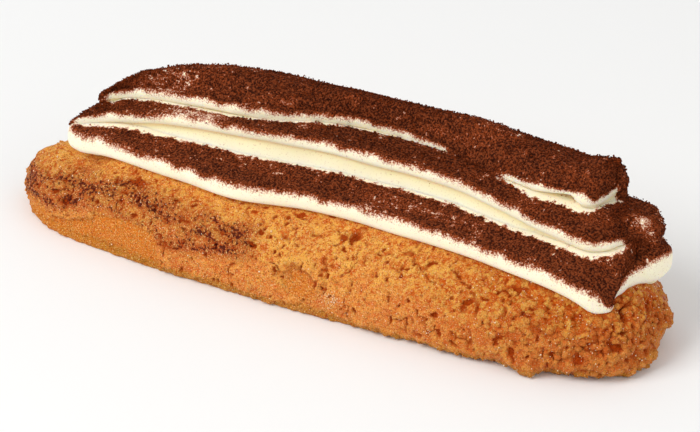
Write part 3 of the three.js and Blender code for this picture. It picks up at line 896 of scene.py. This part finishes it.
def roof_heights(surfaces):
    """A plan grid with the highest point of some surfaces in each cell, widened by one cell, and its corner.

    With no surfaces, it is one cell of no height.
    """
    if not surfaces:
        return np.zeros((1, 1)), np.zeros(2)
    points = np.concatenate([rings.reshape(-1, 3) for rings in surfaces])
    corner = points[:, :2].min(axis=0) - ROOF_MARGIN * ROOF_CELL
    cells = ((points[:, :2] - corner) / ROOF_CELL).astype(int)
    roof = np.zeros(cells.max(axis=0) + ROOF_MARGIN + 1)
    np.maximum.at(roof, tuple(cells.T), points[:, 2])
    shifted = [np.roll(roof, step, axis=(0, 1)) for step in itertools.product((-1, 0, 1), repeat=2)]
    return np.max(shifted, axis=0), corner


def heights_over(plan, roof, corner):
    """The plan grid's height over each point of a plan."""
    cells = np.clip(((plan - corner) / ROOF_CELL).astype(int), 0, np.array(roof.shape) - 1)
    return roof[cells[..., 0], cells[..., 1]]


def open_to_sky(points, roof, corner, looks=NEAR_LOOKS):
    """Share of falling powder that reaches each point, from looks up at it and at two rings round it."""
    angles = 2 * np.pi * np.arange(LOOK_DIRECTIONS) / LOOK_DIRECTIONS
    ring = np.stack([np.cos(angles), np.sin(angles)], axis=-1)
    offsets = np.vstack([[(0, 0)], 0.5 * looks * ring, looks * ring])
    reached = 0
    for offset in offsets:
        overhead = heights_over(points[..., :2] + offset, roof, corner)
        reached = reached + (overhead - points[..., 2] < ROOF_CLEARANCE)
    return reached / len(offsets)


def lip_distance(rings):
    """Distance along the profile from the line on the lip where cocoa starts, in mm: below it negative."""
    steps = np.linalg.norm(np.diff(rings, axis=0), axis=-1)
    along = np.concatenate([np.zeros((1, rings.shape[1])), np.cumsum(steps, axis=0)])
    start_row = 2 * COVE_STEPS + np.argmin(np.abs(LIP_DEGREES - COCOA_START_DEGREES))
    return along - along[start_row]


def fold_sheet(rings):
    """The fold's own coordinates, in mm: along its lip, up its profile from the cocoa's start, and nought."""
    steps = np.linalg.norm(np.roll(rings, -1, axis=1) - rings, axis=-1)
    around = np.broadcast_to(np.cumsum(steps[2 * COVE_STEPS]), rings.shape[:2])
    up = lip_distance(rings)
    return np.stack([around, up, np.zeros_like(up)], axis=-1)


def painted_cove_shade(rings, roof, corner):
    """How far a point lies in a cove, painted as shade: 1 high on a fold's own wall, and less on the top
    that a lip shades.

    The wall's share rises up its rows and fades up those of the lip. The top's is from how much of the
    sky is hidden from a wide look up.
    """
    row = np.arange(len(rings))[:, None]
    wall = smoothstep(*COVE_RISE_ROWS, row) * (1 - smoothstep(*COVE_FADE_ROWS, row))
    tucked = smoothstep(*TUCKED_SKY, open_to_sky(rings, roof, corner, WIDE_LOOKS))
    return np.maximum(wall, TUCKED_SHARE * tucked)


def painted_crease_shade(rings, over, shade):
    """A painted line of shade along the crease under an overhanging lip: a bell across the wall's upper rows.

    It fades towards the right end.
    """
    row = np.arange(len(rings))[:, None]
    line = bell((row - CREASE_ROW) / CREASE_ROWS) * smoothstep(*CREASE_OVERHANGS, over)
    return line * shade * (1 - CREASE_FADE * smoothstep(*CREASE_FADES, rings[..., 0]))


def cocoa_cover(rings, sheet, over, roof, corner):
    """How thickly cocoa lies, from 0 to 1.

    It covers the top and merged lips, thins down a lip with a wavy edge, and is missing under a lip above.
    Bare spots, which are turned bells, and a slow noise let some cream through.
    """
    wavy = swing(sheet, width=(3.2, 4, 1), height=1.1, salt=62)
    wavy = wavy + swing(sheet, width=(0.9, 2, 1), height=0.4, salt=61)
    for drape in DRAPES:
        away = np.hypot(rings[..., 0] - drape["x"], rings[..., 1] - drape["y"]) / drape["radius"]
        wavy = wavy + drape["drop"] * bell(away)
    lip_size = np.clip(-sheet[2 * COVE_STEPS, :, 1] / COCOA_FULL_LIP, COCOA_LEAST_LIP, 1)
    slope = smoothstep(*COCOA_FRINGE, sheet[..., 1] / lip_size + wavy)
    slope = 1 - (1 - slope) * smoothstep(*MERGED_COVER, over)
    ragged = sum(swing(rings, width, RAGGED_HEIGHT, salt=51) for width in RAGGED_WIDTHS)
    cover = slope * smoothstep(*COCOA_SKY, open_to_sky(rings, roof, corner) + ragged)
    gaps = patches(rings, width=(0.9, 0.4, 0.4), levels=(0.35, 0.75), salt=64)
    for spot in BARE_SPOTS:
        east, north = rings[..., 0] - spot["x"], rings[..., 1] - spot["y"]
        cosine, sine = np.cos(np.radians(spot["turn"])), np.sin(np.radians(spot["turn"]))
        along, across = east * cosine + north * sine, north * cosine - east * sine
        away = np.hypot(along / spot["long"], across / spot["wide"])
        cover = cover * (1 - spot["share"] * between(spot["even"], 1, gaps) * bell(away))
    thinner = patches(rings, width=(6, 2.5, 2.5), levels=(0.45, 0.8), salt=63)
    return cover * (1 - COCOA_THINNED * thinner)


def set_node(tree, node, settings, links):
    """Sets a node's properties and sockets, by name or number, and links outputs to its sockets."""
    for name, value in settings.items():
        if isinstance(name, str) and hasattr(node, name):
            setattr(node, name, value)
        else:
            node.inputs[name].default_value = value
    for name, output in links.items():
        tree.links.new(output, node.inputs[name])


def add_node(tree, kind, settings=None, links=None):
    """Adds a node with its settings and links. A multiply-add takes socket 0 times socket 1 plus socket 2."""
    node = tree.nodes.new(kind)
    set_node(tree, node, settings or {}, links or {})
    return node


def new_material(name):
    """An empty node material, with its tree and its shader."""
    material = bpy.data.materials.new(name)
    material.use_nodes = True
    return material, material.node_tree, material.node_tree.nodes["Principled BSDF"]


def opaque(colour):
    """A colour setting as the four numbers a colour socket takes."""
    return (*colour, 1)


def masks_and_patterns(tree, mask_names, widths):
    """What a material reads: masks from the mesh, and noises on Object coordinates with widths in mm."""
    place = add_node(tree, "ShaderNodeTexCoord").outputs["Object"]
    masks = {}
    for name in mask_names:
        masks[name] = add_node(tree, "ShaderNodeAttribute", {"attribute_name": name}).outputs["Fac"]
    patterns = {}
    for name, width in widths.items():
        settings = {"Scale": 1 / (width * MM), "Detail": 2}
        patterns[name] = add_node(tree, "ShaderNodeTexNoise", settings, {"Vector": place}).outputs["Fac"]
    return masks, patterns


def sugar_crust_material(material_name, crust, light_share):
    """Sugar crust on baked choux: a dry golden glaze of sugar and butter, darker and glassier in its hollows.

    The eye gets pale gold on the lumps, amber between them, red-brown in the pits, purple-brown where it is
    scorched, plain orange skin where the crust has come away, and olive gold on the rim that lay on the tray.
    The red-brown also paints shade on the chip's step, and it and the purple-brown paint shade in the deep
    pit.
    The light share is how much light goes in. Loose crumbs let none in, because they are so small that
    the red would leak out of them and leave them green.
    """
    material, tree, shader = new_material(material_name)
    masks, patterns = masks_and_patterns(tree, CRUST_MASKS, CRUST_PATTERNS)
    sums = {"relief": masks["relief"], "burnt_and_pit_shade": patterns["char"]}
    for name, share, added in (
        ("relief", 0.9, patterns["grain"]),
        ("relief", 0.75, patterns["blotch"]),
        ("relief", -0.3, masks["moist"]),
        ("burnt_and_pit_shade", 0.34, masks["burnt_and_pit_shade"]),
    ):
        settings = {"operation": "MULTIPLY_ADD", 1: share}
        sums[name] = add_node(tree, "ShaderNodeMath", settings, {0: added, 2: sums[name]}).outputs[0]
    shares = {}
    for name, source, low, high, most in (
        ("gold", sums["relief"], 0.95, 1.55, 1),
        ("blush", masks["blush"], 0, 1, 0.55),
        ("fleck", patterns["sand"], 0.55, 0.66, 0.72),
        ("prick", patterns["prick"], 0.43, 0.34, 0.8),
        ("specked", masks["blush"], 0, 0.8, 1),
        ("moist", masks["moist"], 0, 1, 0.24),
        ("dry", masks["moist"], 1.7, 0, 1),
        ("skin", masks["bare"], 0, 1, 0.72),
        ("mottled", patterns["grain"], 0.45, 0.75, 0.5),
        ("rim", masks["rim"], 0, 1, 0.8),
        ("haze", masks["burnt_and_pit_shade"], 0.05, 0.8, 0.68),
        ("hollow", masks["hollow"], 0.1, 0.8, 0.95),
        ("speck", patterns["speck"], 0.62, 0.68, 0.5),
        ("char", sums["burnt_and_pit_shade"], 0.77, 0.89, 0.95),
    ):
        settings = {"From Min": low, "From Max": high, "To Max": most}
        shares[name] = add_node(tree, "ShaderNodeMapRange", settings, {"Value": source}).outputs[0]
    for name, within in (("mottled", "skin"), ("speck", "specked"), ("fleck", "dry"), ("prick", "dry")):
        links = {0: shares[name], 1: shares[within]}
        shares[name] = add_node(tree, "ShaderNodeMath", {"operation": "MULTIPLY"}, links).outputs[0]

    settings = {"data_type": "RGBA", MIX_UNDER: opaque(crust.amber), MIX_OVER: opaque(crust.gold)}
    colour = add_node(tree, "ShaderNodeMix", settings, {MIX_SHARE: shares["gold"]}).outputs[MIX_RESULT]
    for name, tint in (
        ("blush", crust.blush),
        ("moist", crust.moist),
        ("skin", crust.skin),
        ("mottled", crust.gold),
        ("rim", crust.rim),
        ("haze", crust.haze),
        ("fleck", crust.pale),
        ("prick", crust.pit),
        ("hollow", crust.pit),
        ("speck", crust.burnt_and_pit_shade),
        ("char", crust.burnt_and_pit_shade),
    ):
        settings = {"data_type": "RGBA", MIX_OVER: opaque(tint)}
        links = {MIX_SHARE: shares[name], MIX_UNDER: colour}
        colour = add_node(tree, "ShaderNodeMix", settings, links).outputs[MIX_RESULT]

    settings = {"To Min": 0.4, "To Max": 0.75}
    gloss = add_node(tree, "ShaderNodeMapRange", settings, {"Value": patterns["grain"]}).outputs[0]
    settings = {"operation": "MULTIPLY_ADD", 1: -0.22}
    gloss = add_node(tree, "ShaderNodeMath", settings, {0: masks["moist"], 2: gloss}).outputs[0]
    settings = {"operation": "MULTIPLY_ADD", 1: 0.6}
    links = {0: patterns["sand"], 2: patterns["grain"]}
    height = add_node(tree, "ShaderNodeMath", settings, links).outputs[0]
    settings = {"Strength": 1, "Distance": 0.5 * MM}
    bump = add_node(tree, "ShaderNodeBump", settings, {"Height": height}).outputs[0]
    settings = {
        "IOR": 1.48,
        "Specular IOR Level": 0.1,
        "Subsurface Weight": light_share,
        "Subsurface Radius": (1, 0.35, 0.1),
        "Subsurface Scale": 0.7 * MM,
    }
    set_node(tree, shader, settings, {"Base Color": colour, "Roughness": gloss, "Normal": bump})
    return material


def cream_material(cream, cocoa):
    """Piped mascarpone cream under dusted cocoa: fat that lets light in with a soft satin, and dull powder.

    The powder goes from bare cream through a thin red-brown veil to dark brown, and its fine grain breaks up
    each edge. The butter tone in the coves and the darker line along each crease are painted shade.
    """
    material, tree, shader = new_material("mascarpone_cream_with_cocoa")
    masks, patterns = masks_and_patterns(tree, ("cocoa", "cove", "crease"), COCOA_PATTERNS)
    sheet = add_node(tree, "ShaderNodeAttribute", {"attribute_name": "sheet"}).outputs["Vector"]
    drawn_out = add_node(tree, "ShaderNodeMapping", {"Scale": (1, 0.45, 1)}, {"Vector": sheet}).outputs[0]
    settings = {"Scale": 1 / (COCOA_STREAK * MM), "Detail": 1}
    streak = add_node(tree, "ShaderNodeTexNoise", settings, {"Vector": drawn_out}).outputs["Fac"]

    broken = masks["cocoa"]
    for share, added in ((1.3, patterns["grain"]), (0.4, streak)):
        settings = {"operation": "MULTIPLY_ADD", 1: share}
        broken = add_node(tree, "ShaderNodeMath", settings, {0: added, 2: broken}).outputs[0]
    shares = {"cove": masks["cove"], "crease": masks["crease"]}
    for name, source, low, high in (
        ("veil", broken, 1, 1.5),
        ("thick", broken, 1.3, 1.75),
        ("clumped", patterns["clump"], 0.42, 0.6),
    ):
        settings = {"From Min": low, "From Max": high}
        shares[name] = add_node(tree, "ShaderNodeMapRange", settings, {"Value": source}).outputs[0]

    settings = {"data_type": "RGBA", MIX_UNDER: opaque(cocoa.dark), MIX_OVER: opaque(cocoa.light)}
    powder = add_node(tree, "ShaderNodeMix", settings, {MIX_SHARE: shares["clumped"]}).outputs[MIX_RESULT]
    # Painted shade: the cove mask turns the cream to a warmer butter tone under the lips
    settings = {"data_type": "RGBA", MIX_UNDER: opaque(cream.ivory), MIX_OVER: opaque(cream.butter)}
    colour = add_node(tree, "ShaderNodeMix", settings, {MIX_SHARE: shares["cove"]}).outputs[MIX_RESULT]
    # Painted shade: a darker crease line under each overhanging lip, then the thin cocoa veil
    for name, tint in (("crease", cream.crease), ("veil", cocoa.thin)):
        settings = {"data_type": "RGBA", MIX_OVER: opaque(tint)}
        links = {MIX_SHARE: shares[name], MIX_UNDER: colour}
        colour = add_node(tree, "ShaderNodeMix", settings, links).outputs[MIX_RESULT]
    links = {MIX_SHARE: shares["thick"], MIX_UNDER: colour, MIX_OVER: powder}
    colour = add_node(tree, "ShaderNodeMix", {"data_type": "RGBA"}, links).outputs[MIX_RESULT]

    links = {"Value": shares["veil"]}
    gloss = add_node(tree, "ShaderNodeMapRange", {"To Min": 0.42, "To Max": 0.95}, links).outputs[0]
    depth = add_node(tree, "ShaderNodeMapRange", {"To Min": 0.7, "To Max": 0}, links).outputs[0]
    links = {0: patterns["grain"], 1: shares["thick"]}
    height = add_node(tree, "ShaderNodeMath", {"operation": "MULTIPLY"}, links).outputs[0]
    settings = {"Strength": 0.8, "Distance": 0.2 * MM}
    bump = add_node(tree, "ShaderNodeBump", settings, {"Height": height}).outputs[0]
    settings = {
        "IOR": 1.45,
        "Specular IOR Level": 0.12,
        "Subsurface Radius": (1, 0.8, 0.45),
        "Subsurface Scale": 2 * MM,
    }
    links = {"Base Color": colour, "Roughness": gloss, "Subsurface Weight": depth, "Normal": bump}
    set_node(tree, shader, settings, links)
    return material


def grain_material(name, dark, light, finish):
    """Loose grains: each takes a colour between two by its own number, as grains of one powder differ."""
    material, tree, shader = new_material(name)
    number = add_node(tree, "ShaderNodeAttribute", {"attribute_name": "number"}).outputs["Fac"]
    settings = {"data_type": "RGBA", MIX_UNDER: opaque(dark), MIX_OVER: opaque(light)}
    colour = add_node(tree, "ShaderNodeMix", settings, {MIX_SHARE: number}).outputs[MIX_RESULT]
    set_node(tree, shader, finish, {"Base Color": colour})
    return material


def write_mesh(name, points, faces, attributes, material):
    """A smooth-shaded object from points in mm, groups of faces with equal corners, and values per point."""
    mesh = bpy.data.meshes.new(name)
    corners = np.concatenate([group.ravel() for group in faces]).astype(np.int32)
    sizes = np.concatenate([np.full(len(group), group.shape[1]) for group in faces])
    starts = np.concatenate([[0], np.cumsum(sizes)[:-1]]).astype(np.int32)
    mesh.vertices.add(len(points))
    mesh.loops.add(len(corners))
    mesh.polygons.add(len(sizes))
    mesh.vertices.foreach_set("co", (points * MM).astype(np.float32).ravel())
    mesh.loops.foreach_set("vertex_index", corners)
    mesh.polygons.foreach_set("loop_start", starts)
    for key, values in attributes.items():
        is_vector = np.shape(values)[-1] == 3
        layer = mesh.attributes.new(key, "FLOAT_VECTOR" if is_vector else "FLOAT", "POINT")
        layer.data.foreach_set("vector" if is_vector else "value", np.asarray(values, np.float32).ravel())
    mesh.update(calc_edges=True)
    mesh.validate()
    mesh.shade_smooth()
    mesh.materials.append(material)
    piece = bpy.data.objects.new(name, mesh)
    bpy.context.scene.collection.objects.link(piece)
    return piece


def ring_faces(ring_count, count):
    """Quads between neighbouring rings, and strips that pair i with count less i across the end rings."""
    low = np.arange(ring_count - 1)[:, None] * count
    here = np.arange(count)[None]
    after = (here + 1) % count
    high = low + count
    sides = np.stack([low + here, low + after, high + after, high + here], axis=-1).reshape(-1, 4)
    inner = np.arange(1, count // 2 - 1)
    cap = np.stack([inner, inner + 1, count - inner - 1, count - inner], axis=-1)
    half = count // 2
    tips = np.array([[0, 1, count - 1], [half - 1, half, half + 1]])
    top = (ring_count - 1) * count
    return [np.concatenate([sides, top + cap, cap[:, ::-1]]), np.concatenate([top + tips, tips[:, ::-1]])]


def place_piece(piece):
    """The piece rides on the part's one body."""
    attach(piece, "root")


def mesh_points(piece):
    """A piece's points in mm and their normals."""
    mesh = piece.data
    points = np.empty(len(mesh.vertices) * 3, np.float32)
    normals = np.empty_like(points)
    mesh.vertices.foreach_get("co", points)
    mesh.vertices.foreach_get("normal", normals)
    return points.reshape(-1, 3).astype(float) / MM, normals.reshape(-1, 3).astype(float)


def mesh_values(piece, name):
    """A piece's values of one attribute."""
    values = np.empty(len(piece.data.vertices), np.float32)
    piece.data.attributes[name].data.foreach_get("value", values)
    return values.astype(float)


def small_solid(corners):
    """A solid with triangles between each three corners that are mutual neighbours, facing outwards."""
    corners = np.array(corners, float)
    corners = corners / np.linalg.norm(corners, axis=1, keepdims=True)
    gaps = np.linalg.norm(corners[:, None] - corners[None], axis=-1)
    near = gaps < 1.05 * np.min(gaps[gaps > 1e-6])
    faces = []
    for a, b, c in itertools.combinations(range(len(corners)), 3):
        if near[a, b] and near[b, c] and near[a, c]:
            outward = np.linalg.det(corners[[a, b, c]]) > 0
            faces.append((a, b, c) if outward else (a, c, b))
    return corners, np.array(faces)


def octahedron():
    """Six corners, one at each end of three axes."""
    return small_solid(np.vstack([np.eye(3), -np.eye(3)]))


def icosahedron():
    """Twelve corners, at the cyclic turns of nought, one and the golden ratio with either sign."""
    golden = (1 + 5**0.5) / 2
    first = [(0, a, b * golden) for a in (-1, 1) for b in (-1, 1)]
    return small_solid([np.roll(corner, turn) for corner in first for turn in range(3)])


def scattered(solid, places, radii, rough, rng):
    """Copies of a small solid: corners pushed in or out by a share, turned at random, scaled and placed.

    The turn comes from a random unit quaternion. It returns the points, the faces, and a random number from
    0 to 1 for each copy, given to all its points.
    """
    corners, faces = solid
    count = len(places)
    quaternion = rng.normal(size=(count, 4))
    w, x, y, z = (quaternion / np.linalg.norm(quaternion, axis=1, keepdims=True)).T
    turn = np.stack(
        [
            np.stack([1 - 2 * (y * y + z * z), 2 * (x * y - w * z), 2 * (x * z + w * y)], axis=-1),
            np.stack([2 * (x * y + w * z), 1 - 2 * (x * x + z * z), 2 * (y * z - w * x)], axis=-1),
            np.stack([2 * (x * z - w * y), 2 * (y * z + w * x), 1 - 2 * (x * x + y * y)], axis=-1),
        ],
        axis=1,
    )
    pushed = corners[None] * (1 + rough * rng.uniform(-1, 1, (count, len(corners), 1)))
    turned = np.einsum("nij,nkj->nki", turn, pushed) * radii[:, None, None] + places[:, None]
    all_faces = faces[None] + len(corners) * np.arange(count)[:, None, None]
    numbers = np.repeat(rng.uniform(0, 1, count), len(corners))
    return turned.reshape(-1, 3), all_faces.reshape(-1, 3), numbers


def drawn(weights, count, rng):
    """Indices drawn at random, each in proportion to its weight."""
    total = np.cumsum(weights)
    return np.searchsorted(total, rng.uniform(0, total[-1], count))


class ECLAIR_OT_bun(bpy.types.Operator):
    """Make the bun with its sugar crust"""

    bl_idname = "eclair.bun"
    bl_label = "Choux bun"

    def execute(self, context):
        crust = context.scene.eclair.crust
        rings = bun_rings()
        out, masks = crust_relief(rings, crust)
        lower_fold = fold_rings(FOLDS["cream_lower_fold"], roof_heights([rings]))[0]
        clear = open_to_sky(rings, *roof_heights([lower_fold]))
        out = out * clear - PRESSED * (1 - clear)
        points = rings + grid_normals(rings) * out[..., None]
        points[..., 2] = np.maximum(points[..., 2], 0)
        faces = ring_faces(*points.shape[:2])
        material = sugar_crust_material("sugar_crust_on_baked_choux", crust, light_share=0.3)
        bun = write_mesh("bun_with_sugar_crust", points.reshape(-1, 3), faces, masks, material)
        place_piece(bun)
        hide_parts("choux_bun")
        return {"FINISHED"}


class ECLAIR_OT_cream(bpy.types.Operator):
    """Pipe the three folds of cream, with the cocoa that lies on them"""

    bl_idname = "eclair.cream"
    bl_label = "Cream folds"

    def execute(self, context):
        settings = context.scene.eclair
        material = cream_material(settings.cream, settings.cocoa)
        surfaces = {}
        ground = roof_heights([bun_rings()])
        for node, fold in FOLDS.items():
            surfaces[node] = fold_rings(fold, ground)
            ground = roof_heights([surfaces[node][0]])
        nodes = list(surfaces)
        for node, (rings, over) in surfaces.items():
            normals = grid_normals(rings)
            above = [surfaces[name] for name in nodes[nodes.index(node) + 1 :]]
            roof = roof_heights([upper[:, free > MERGED_COVER[0]] for upper, free in above])
            sheet = fold_sheet(rings)
            cover = cocoa_cover(rings, sheet, over, *roof)
            ripples = swing(rings, RIPPLE_WIDTHS, 2 * settings.cream.ripple_height / MM, salt=71)
            clumps = sum(swing(rings, width, height, salt) for width, height, salt in CLUMP_SIZES)
            powder = settings.cocoa.clump_height / MM * (1 + CLUMP_SHARE * clumps) * cover
            points = rings + normals * (ripples + powder)[..., None]
            faces = ring_faces(*rings.shape[:2])
            name = node.replace("cream", "piped_cream")
            values = {"cocoa": cover, "sheet": sheet * MM}
            # The cove and crease values are painted shade for the cream's material
            values["cove"] = painted_cove_shade(rings, *roof)
            values["crease"] = painted_crease_shade(rings, over, FOLDS[node]["crease_shade"])
            fold = write_mesh(name, points.reshape(-1, 3), faces, values, material)
            place_piece(fold)
            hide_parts(node)
        return {"FINISHED"}


class ECLAIR_OT_cocoa(bpy.types.Operator):
    """Scatter loose grains of cocoa over the dusted cream"""

    bl_idname = "eclair.cocoa"
    bl_label = "Cocoa grains"

    def execute(self, context):
        cocoa = context.scene.eclair.cocoa
        rng = np.random.default_rng(GRAIN_SEED)
        folds = [bpy.data.objects[node.replace("cream", "piped_cream")] for node in FOLDS]
        points, normals = (np.concatenate(rows) for rows in zip(*[mesh_points(fold) for fold in folds]))
        cover = np.concatenate([mesh_values(fold, "cocoa") for fold in folds])
        weights = cover * (cover > GRAIN_LEAST_COVER) + STRAY_GRAINS * (normals[:, 2] > STRAY_SLOPE)
        chosen = drawn(weights, cocoa.grain_count, rng)
        radii = cocoa.grain_radius / MM * np.exp(rng.normal(0, GRAIN_SPREAD, cocoa.grain_count))
        radii = radii * between(GRAIN_THIN_SIZE, 1, cover[chosen])
        places = points[chosen] + normals[chosen] * (GRAIN_RAISE * radii)[:, None]
        places = places + rng.normal(0, GRAIN_DRIFT, places.shape)
        finish = {"Roughness": 0.95, "IOR": 1.45, "Specular IOR Level": 0.1}
        material = grain_material("cocoa_powder", cocoa.dark, cocoa.thin, finish)
        grains, faces, numbers = scattered(octahedron(), places, radii, GRAIN_ROUGHNESS, rng)
        thinness = np.repeat(1 - cover[chosen], len(numbers) // len(chosen))
        numbers = np.clip(GRAIN_TONES["own"] * numbers + GRAIN_TONES["thin"] * thinness, 0, 1)
        piece = write_mesh("cocoa_grains", grains, [faces], {"number": numbers}, material)
        place_piece(piece)
        return {"FINISHED"}


class ECLAIR_OT_crumbs(bpy.types.Operator):
    """Scatter crumbs and sugar grains over the crust"""

    bl_idname = "eclair.crumbs"
    bl_label = "Crumbs and sugar"

    def execute(self, context):
        settings = context.scene.eclair
        crumbs = settings.crumbs
        rng = np.random.default_rng(CRUMB_SEED)
        bun = bpy.data.objects["bun_with_sugar_crust"]
        points, normals = mesh_points(bun)
        bare, hollow, moist = (mesh_values(bun, name) for name in ("bare", "hollow", "moist"))
        lowest, highest = CRUMB_HEIGHTS
        shown = (points[:, 2] > lowest) & (points[:, 2] < highest)
        torn = bell((bare - TORN_SKIN) / TORN_SPREAD) * (bare > TORN_LEAST)
        weights = shown * (1 - hollow) * ((DRY_CRUMBS + moist) * (1 - bare) + TORN_CRUMBS * torn)
        chosen = drawn(weights, crumbs.crumb_count, rng)
        scales = CRUMB_SCALES
        larger = scales["least"] + scales["moist"] * moist[chosen] + scales["torn"] * torn[chosen]
        radii = crumbs.crumb_radius / MM * np.exp(rng.normal(0, CRUMB_SPREAD, len(chosen))) * larger
        places = points[chosen] - normals[chosen] * (CRUMB_SINK * radii)[:, None]
        places[:, 2] = np.maximum(places[:, 2], (1 + CRUMB_ROUGHNESS) * radii)
        grains, faces, numbers = scattered(icosahedron(), places, radii, CRUMB_ROUGHNESS, rng)
        corners = len(numbers) // len(chosen)
        masks = {name: np.repeat(mesh_values(bun, name)[chosen], corners) for name in CRUST_MASKS}
        # Each crumb has its own tone, and torn ones are paler, less burnt and free of skin
        pale = np.repeat(torn[chosen], corners)
        tones = CRUMB_TONES
        masks["relief"] = tones["least"] + tones["own"] * numbers + tones["torn"] * pale
        masks["burnt_and_pit_shade"] = masks["burnt_and_pit_shade"] * (1 - TORN_UNBURNT * pale)
        masks["bare"] = masks["bare"] * (1 - pale)
        material = sugar_crust_material("loose_crumb_of_crust", settings.crust, light_share=0)
        piece = write_mesh("crust_crumbs", grains, [faces], masks, material)
        place_piece(piece)

        # Sugar grains gather where the crust glints: they catch real glints, and their near-white colour
        # paints highlights too
        glint_cluster = bell(np.linalg.norm(points - SUGAR_GLINT_CLUSTER, axis=1) / SUGAR_GLINT_RADIUS)
        weights = shown * (1 - SKIN_LACKS_SUGAR * bare) * (DRY_SUGAR + moist + SUGAR_GLINT_SHARE * glint_cluster)
        chosen = drawn(weights, crumbs.sugar_count, rng)
        radii = crumbs.sugar_radius / MM * np.exp(rng.normal(0, SUGAR_SPREAD, len(chosen)))
        finish = {"Roughness": 0.15, "IOR": 1.54, "Specular IOR Level": 0.5}
        material = grain_material("sugar_grain_with_glint", crumbs.straw, crumbs.sugar, finish)
        grains, faces, numbers = scattered(octahedron(), points[chosen], radii, SUGAR_ROUGHNESS, rng)
        place_piece(write_mesh("sugar_grains", grains, [faces], {"number": numbers}, material))
        return {"FINISHED"}


class ECLAIR_OT_stage(bpy.types.Operator):
    """Set the floor, the lights and the camera"""

    bl_idname = "eclair.stage"
    bl_label = "Stage"

    def execute(self, context):
        stage = context.scene.eclair.stage
        self.add_floor(stage)
        self.add_lights(context.scene, stage)
        self.add_camera(context.scene)
        return {"FINISHED"}

    def add_floor(self, stage):
        """A square of pale matt floor, two metres each way from the middle."""
        material, tree, shader = new_material("matt_floor")
        set_node(tree, shader, {"Base Color": opaque(stage.floor), "Roughness": 0.9}, {})
        signs = ((-1, -1), (1, -1), (1, 1), (-1, 1))
        corners = np.array([(FLOOR_REACH * x, FLOOR_REACH * y, 0) for x, y in signs], float)
        floor = write_mesh("floor", corners, [np.array([[0, 1, 2, 3]])], {}, material)

    def add_lights(self, scene, stage):
        """A soft main light from the upper left, a weaker one from the right, and even light all round."""
        for kind, power in ((KEY_LIGHT, stage.key_power), (FILL_LIGHT, stage.fill_power)):
            light = bpy.data.lights.new(kind["name"], "AREA")
            light.energy = power
            light.size = kind["size"]
            lamp = bpy.data.objects.new(kind["name"], light)
            lamp.location = kind["place"]
            lamp.rotation_euler = (-Vector(kind["place"])).to_track_quat("-Z", "Y").to_euler()
            scene.collection.objects.link(lamp)
        world = bpy.data.worlds.new("studio")
        world.use_nodes = True
        background = world.node_tree.nodes["Background"]
        set_node(world.node_tree, background, {"Color": (1, 1, 1, 1), "Strength": stage.sky}, {})
        scene.world = world
        scene.view_settings.view_transform = "Standard"

    def add_camera(self, scene):
        """The camera stands off at its angles and looks a little right of and below the eclair's middle."""
        azimuth, elevation = np.radians([CAMERA_AZIMUTH, CAMERA_ELEVATION])
        away = np.cos(elevation)
        back = Vector((np.sin(azimuth) * away, -np.cos(azimuth) * away, np.sin(elevation)))
        right = Vector((np.cos(azimuth), np.sin(azimuth), 0))
        up = back.cross(right)
        focus = Vector(CAMERA_FOCUS)
        eye = focus + back * CAMERA_DISTANCE
        aim = focus + right * CAMERA_OFF_CENTRE[0] + up * CAMERA_OFF_CENTRE[1]
        lens = bpy.data.cameras.new("camera")
        lens.lens = CAMERA_LENS
        lens.sensor_width = SENSOR_WIDTH
        lens.sensor_fit = "HORIZONTAL"
        lens.clip_start = CAMERA_NEAREST
        camera = bpy.data.objects.new("camera", lens)
        camera.location = eye * MM
        camera.rotation_euler = (aim - eye).to_track_quat("-Z", "Y").to_euler()
        scene.collection.objects.link(camera)
        scene.camera = camera


PIECES = (ECLAIR_OT_bun, ECLAIR_OT_cream, ECLAIR_OT_cocoa, ECLAIR_OT_crumbs, ECLAIR_OT_stage)


class ECLAIR_PT_panel(bpy.types.Panel):
    """The eclair's settings and the steps that make it"""

    bl_idname = "ECLAIR_PT_panel"
    bl_label = "Eclair"
    bl_space_type = "VIEW_3D"
    bl_region_type = "UI"
    bl_category = "Eclair"

    def draw(self, context):
        settings = context.scene.eclair
        for group in (settings.crust, settings.cream, settings.cocoa, settings.crumbs, settings.stage):
            box = self.layout.box()
            for name in group.__annotations__:
                box.prop(group, name)
        for piece in PIECES:
            self.layout.operator(piece.bl_idname)


CLASSES = (
    EclairCrust,
    EclairCream,
    EclairCocoa,
    EclairCrumbs,
    EclairStage,
    EclairSettings,
    *PIECES,
    ECLAIR_PT_panel,
)


def register():
    """Registers the classes and the scene's settings."""
    for item in CLASSES:
        bpy.utils.register_class(item)
    bpy.types.Scene.eclair = PointerProperty(type=EclairSettings)


def unregister():
    """Removes the settings and the classes again."""
    del bpy.types.Scene.eclair
    for item in reversed(CLASSES):
        bpy.utils.unregister_class(item)


def main():
    """Makes each piece in order."""
    register()
    bpy.ops.eclair.bun()
    bpy.ops.eclair.cream()
    bpy.ops.eclair.cocoa()
    bpy.ops.eclair.crumbs()
    bpy.ops.eclair.stage()


if __name__ == "__main__":
    main()
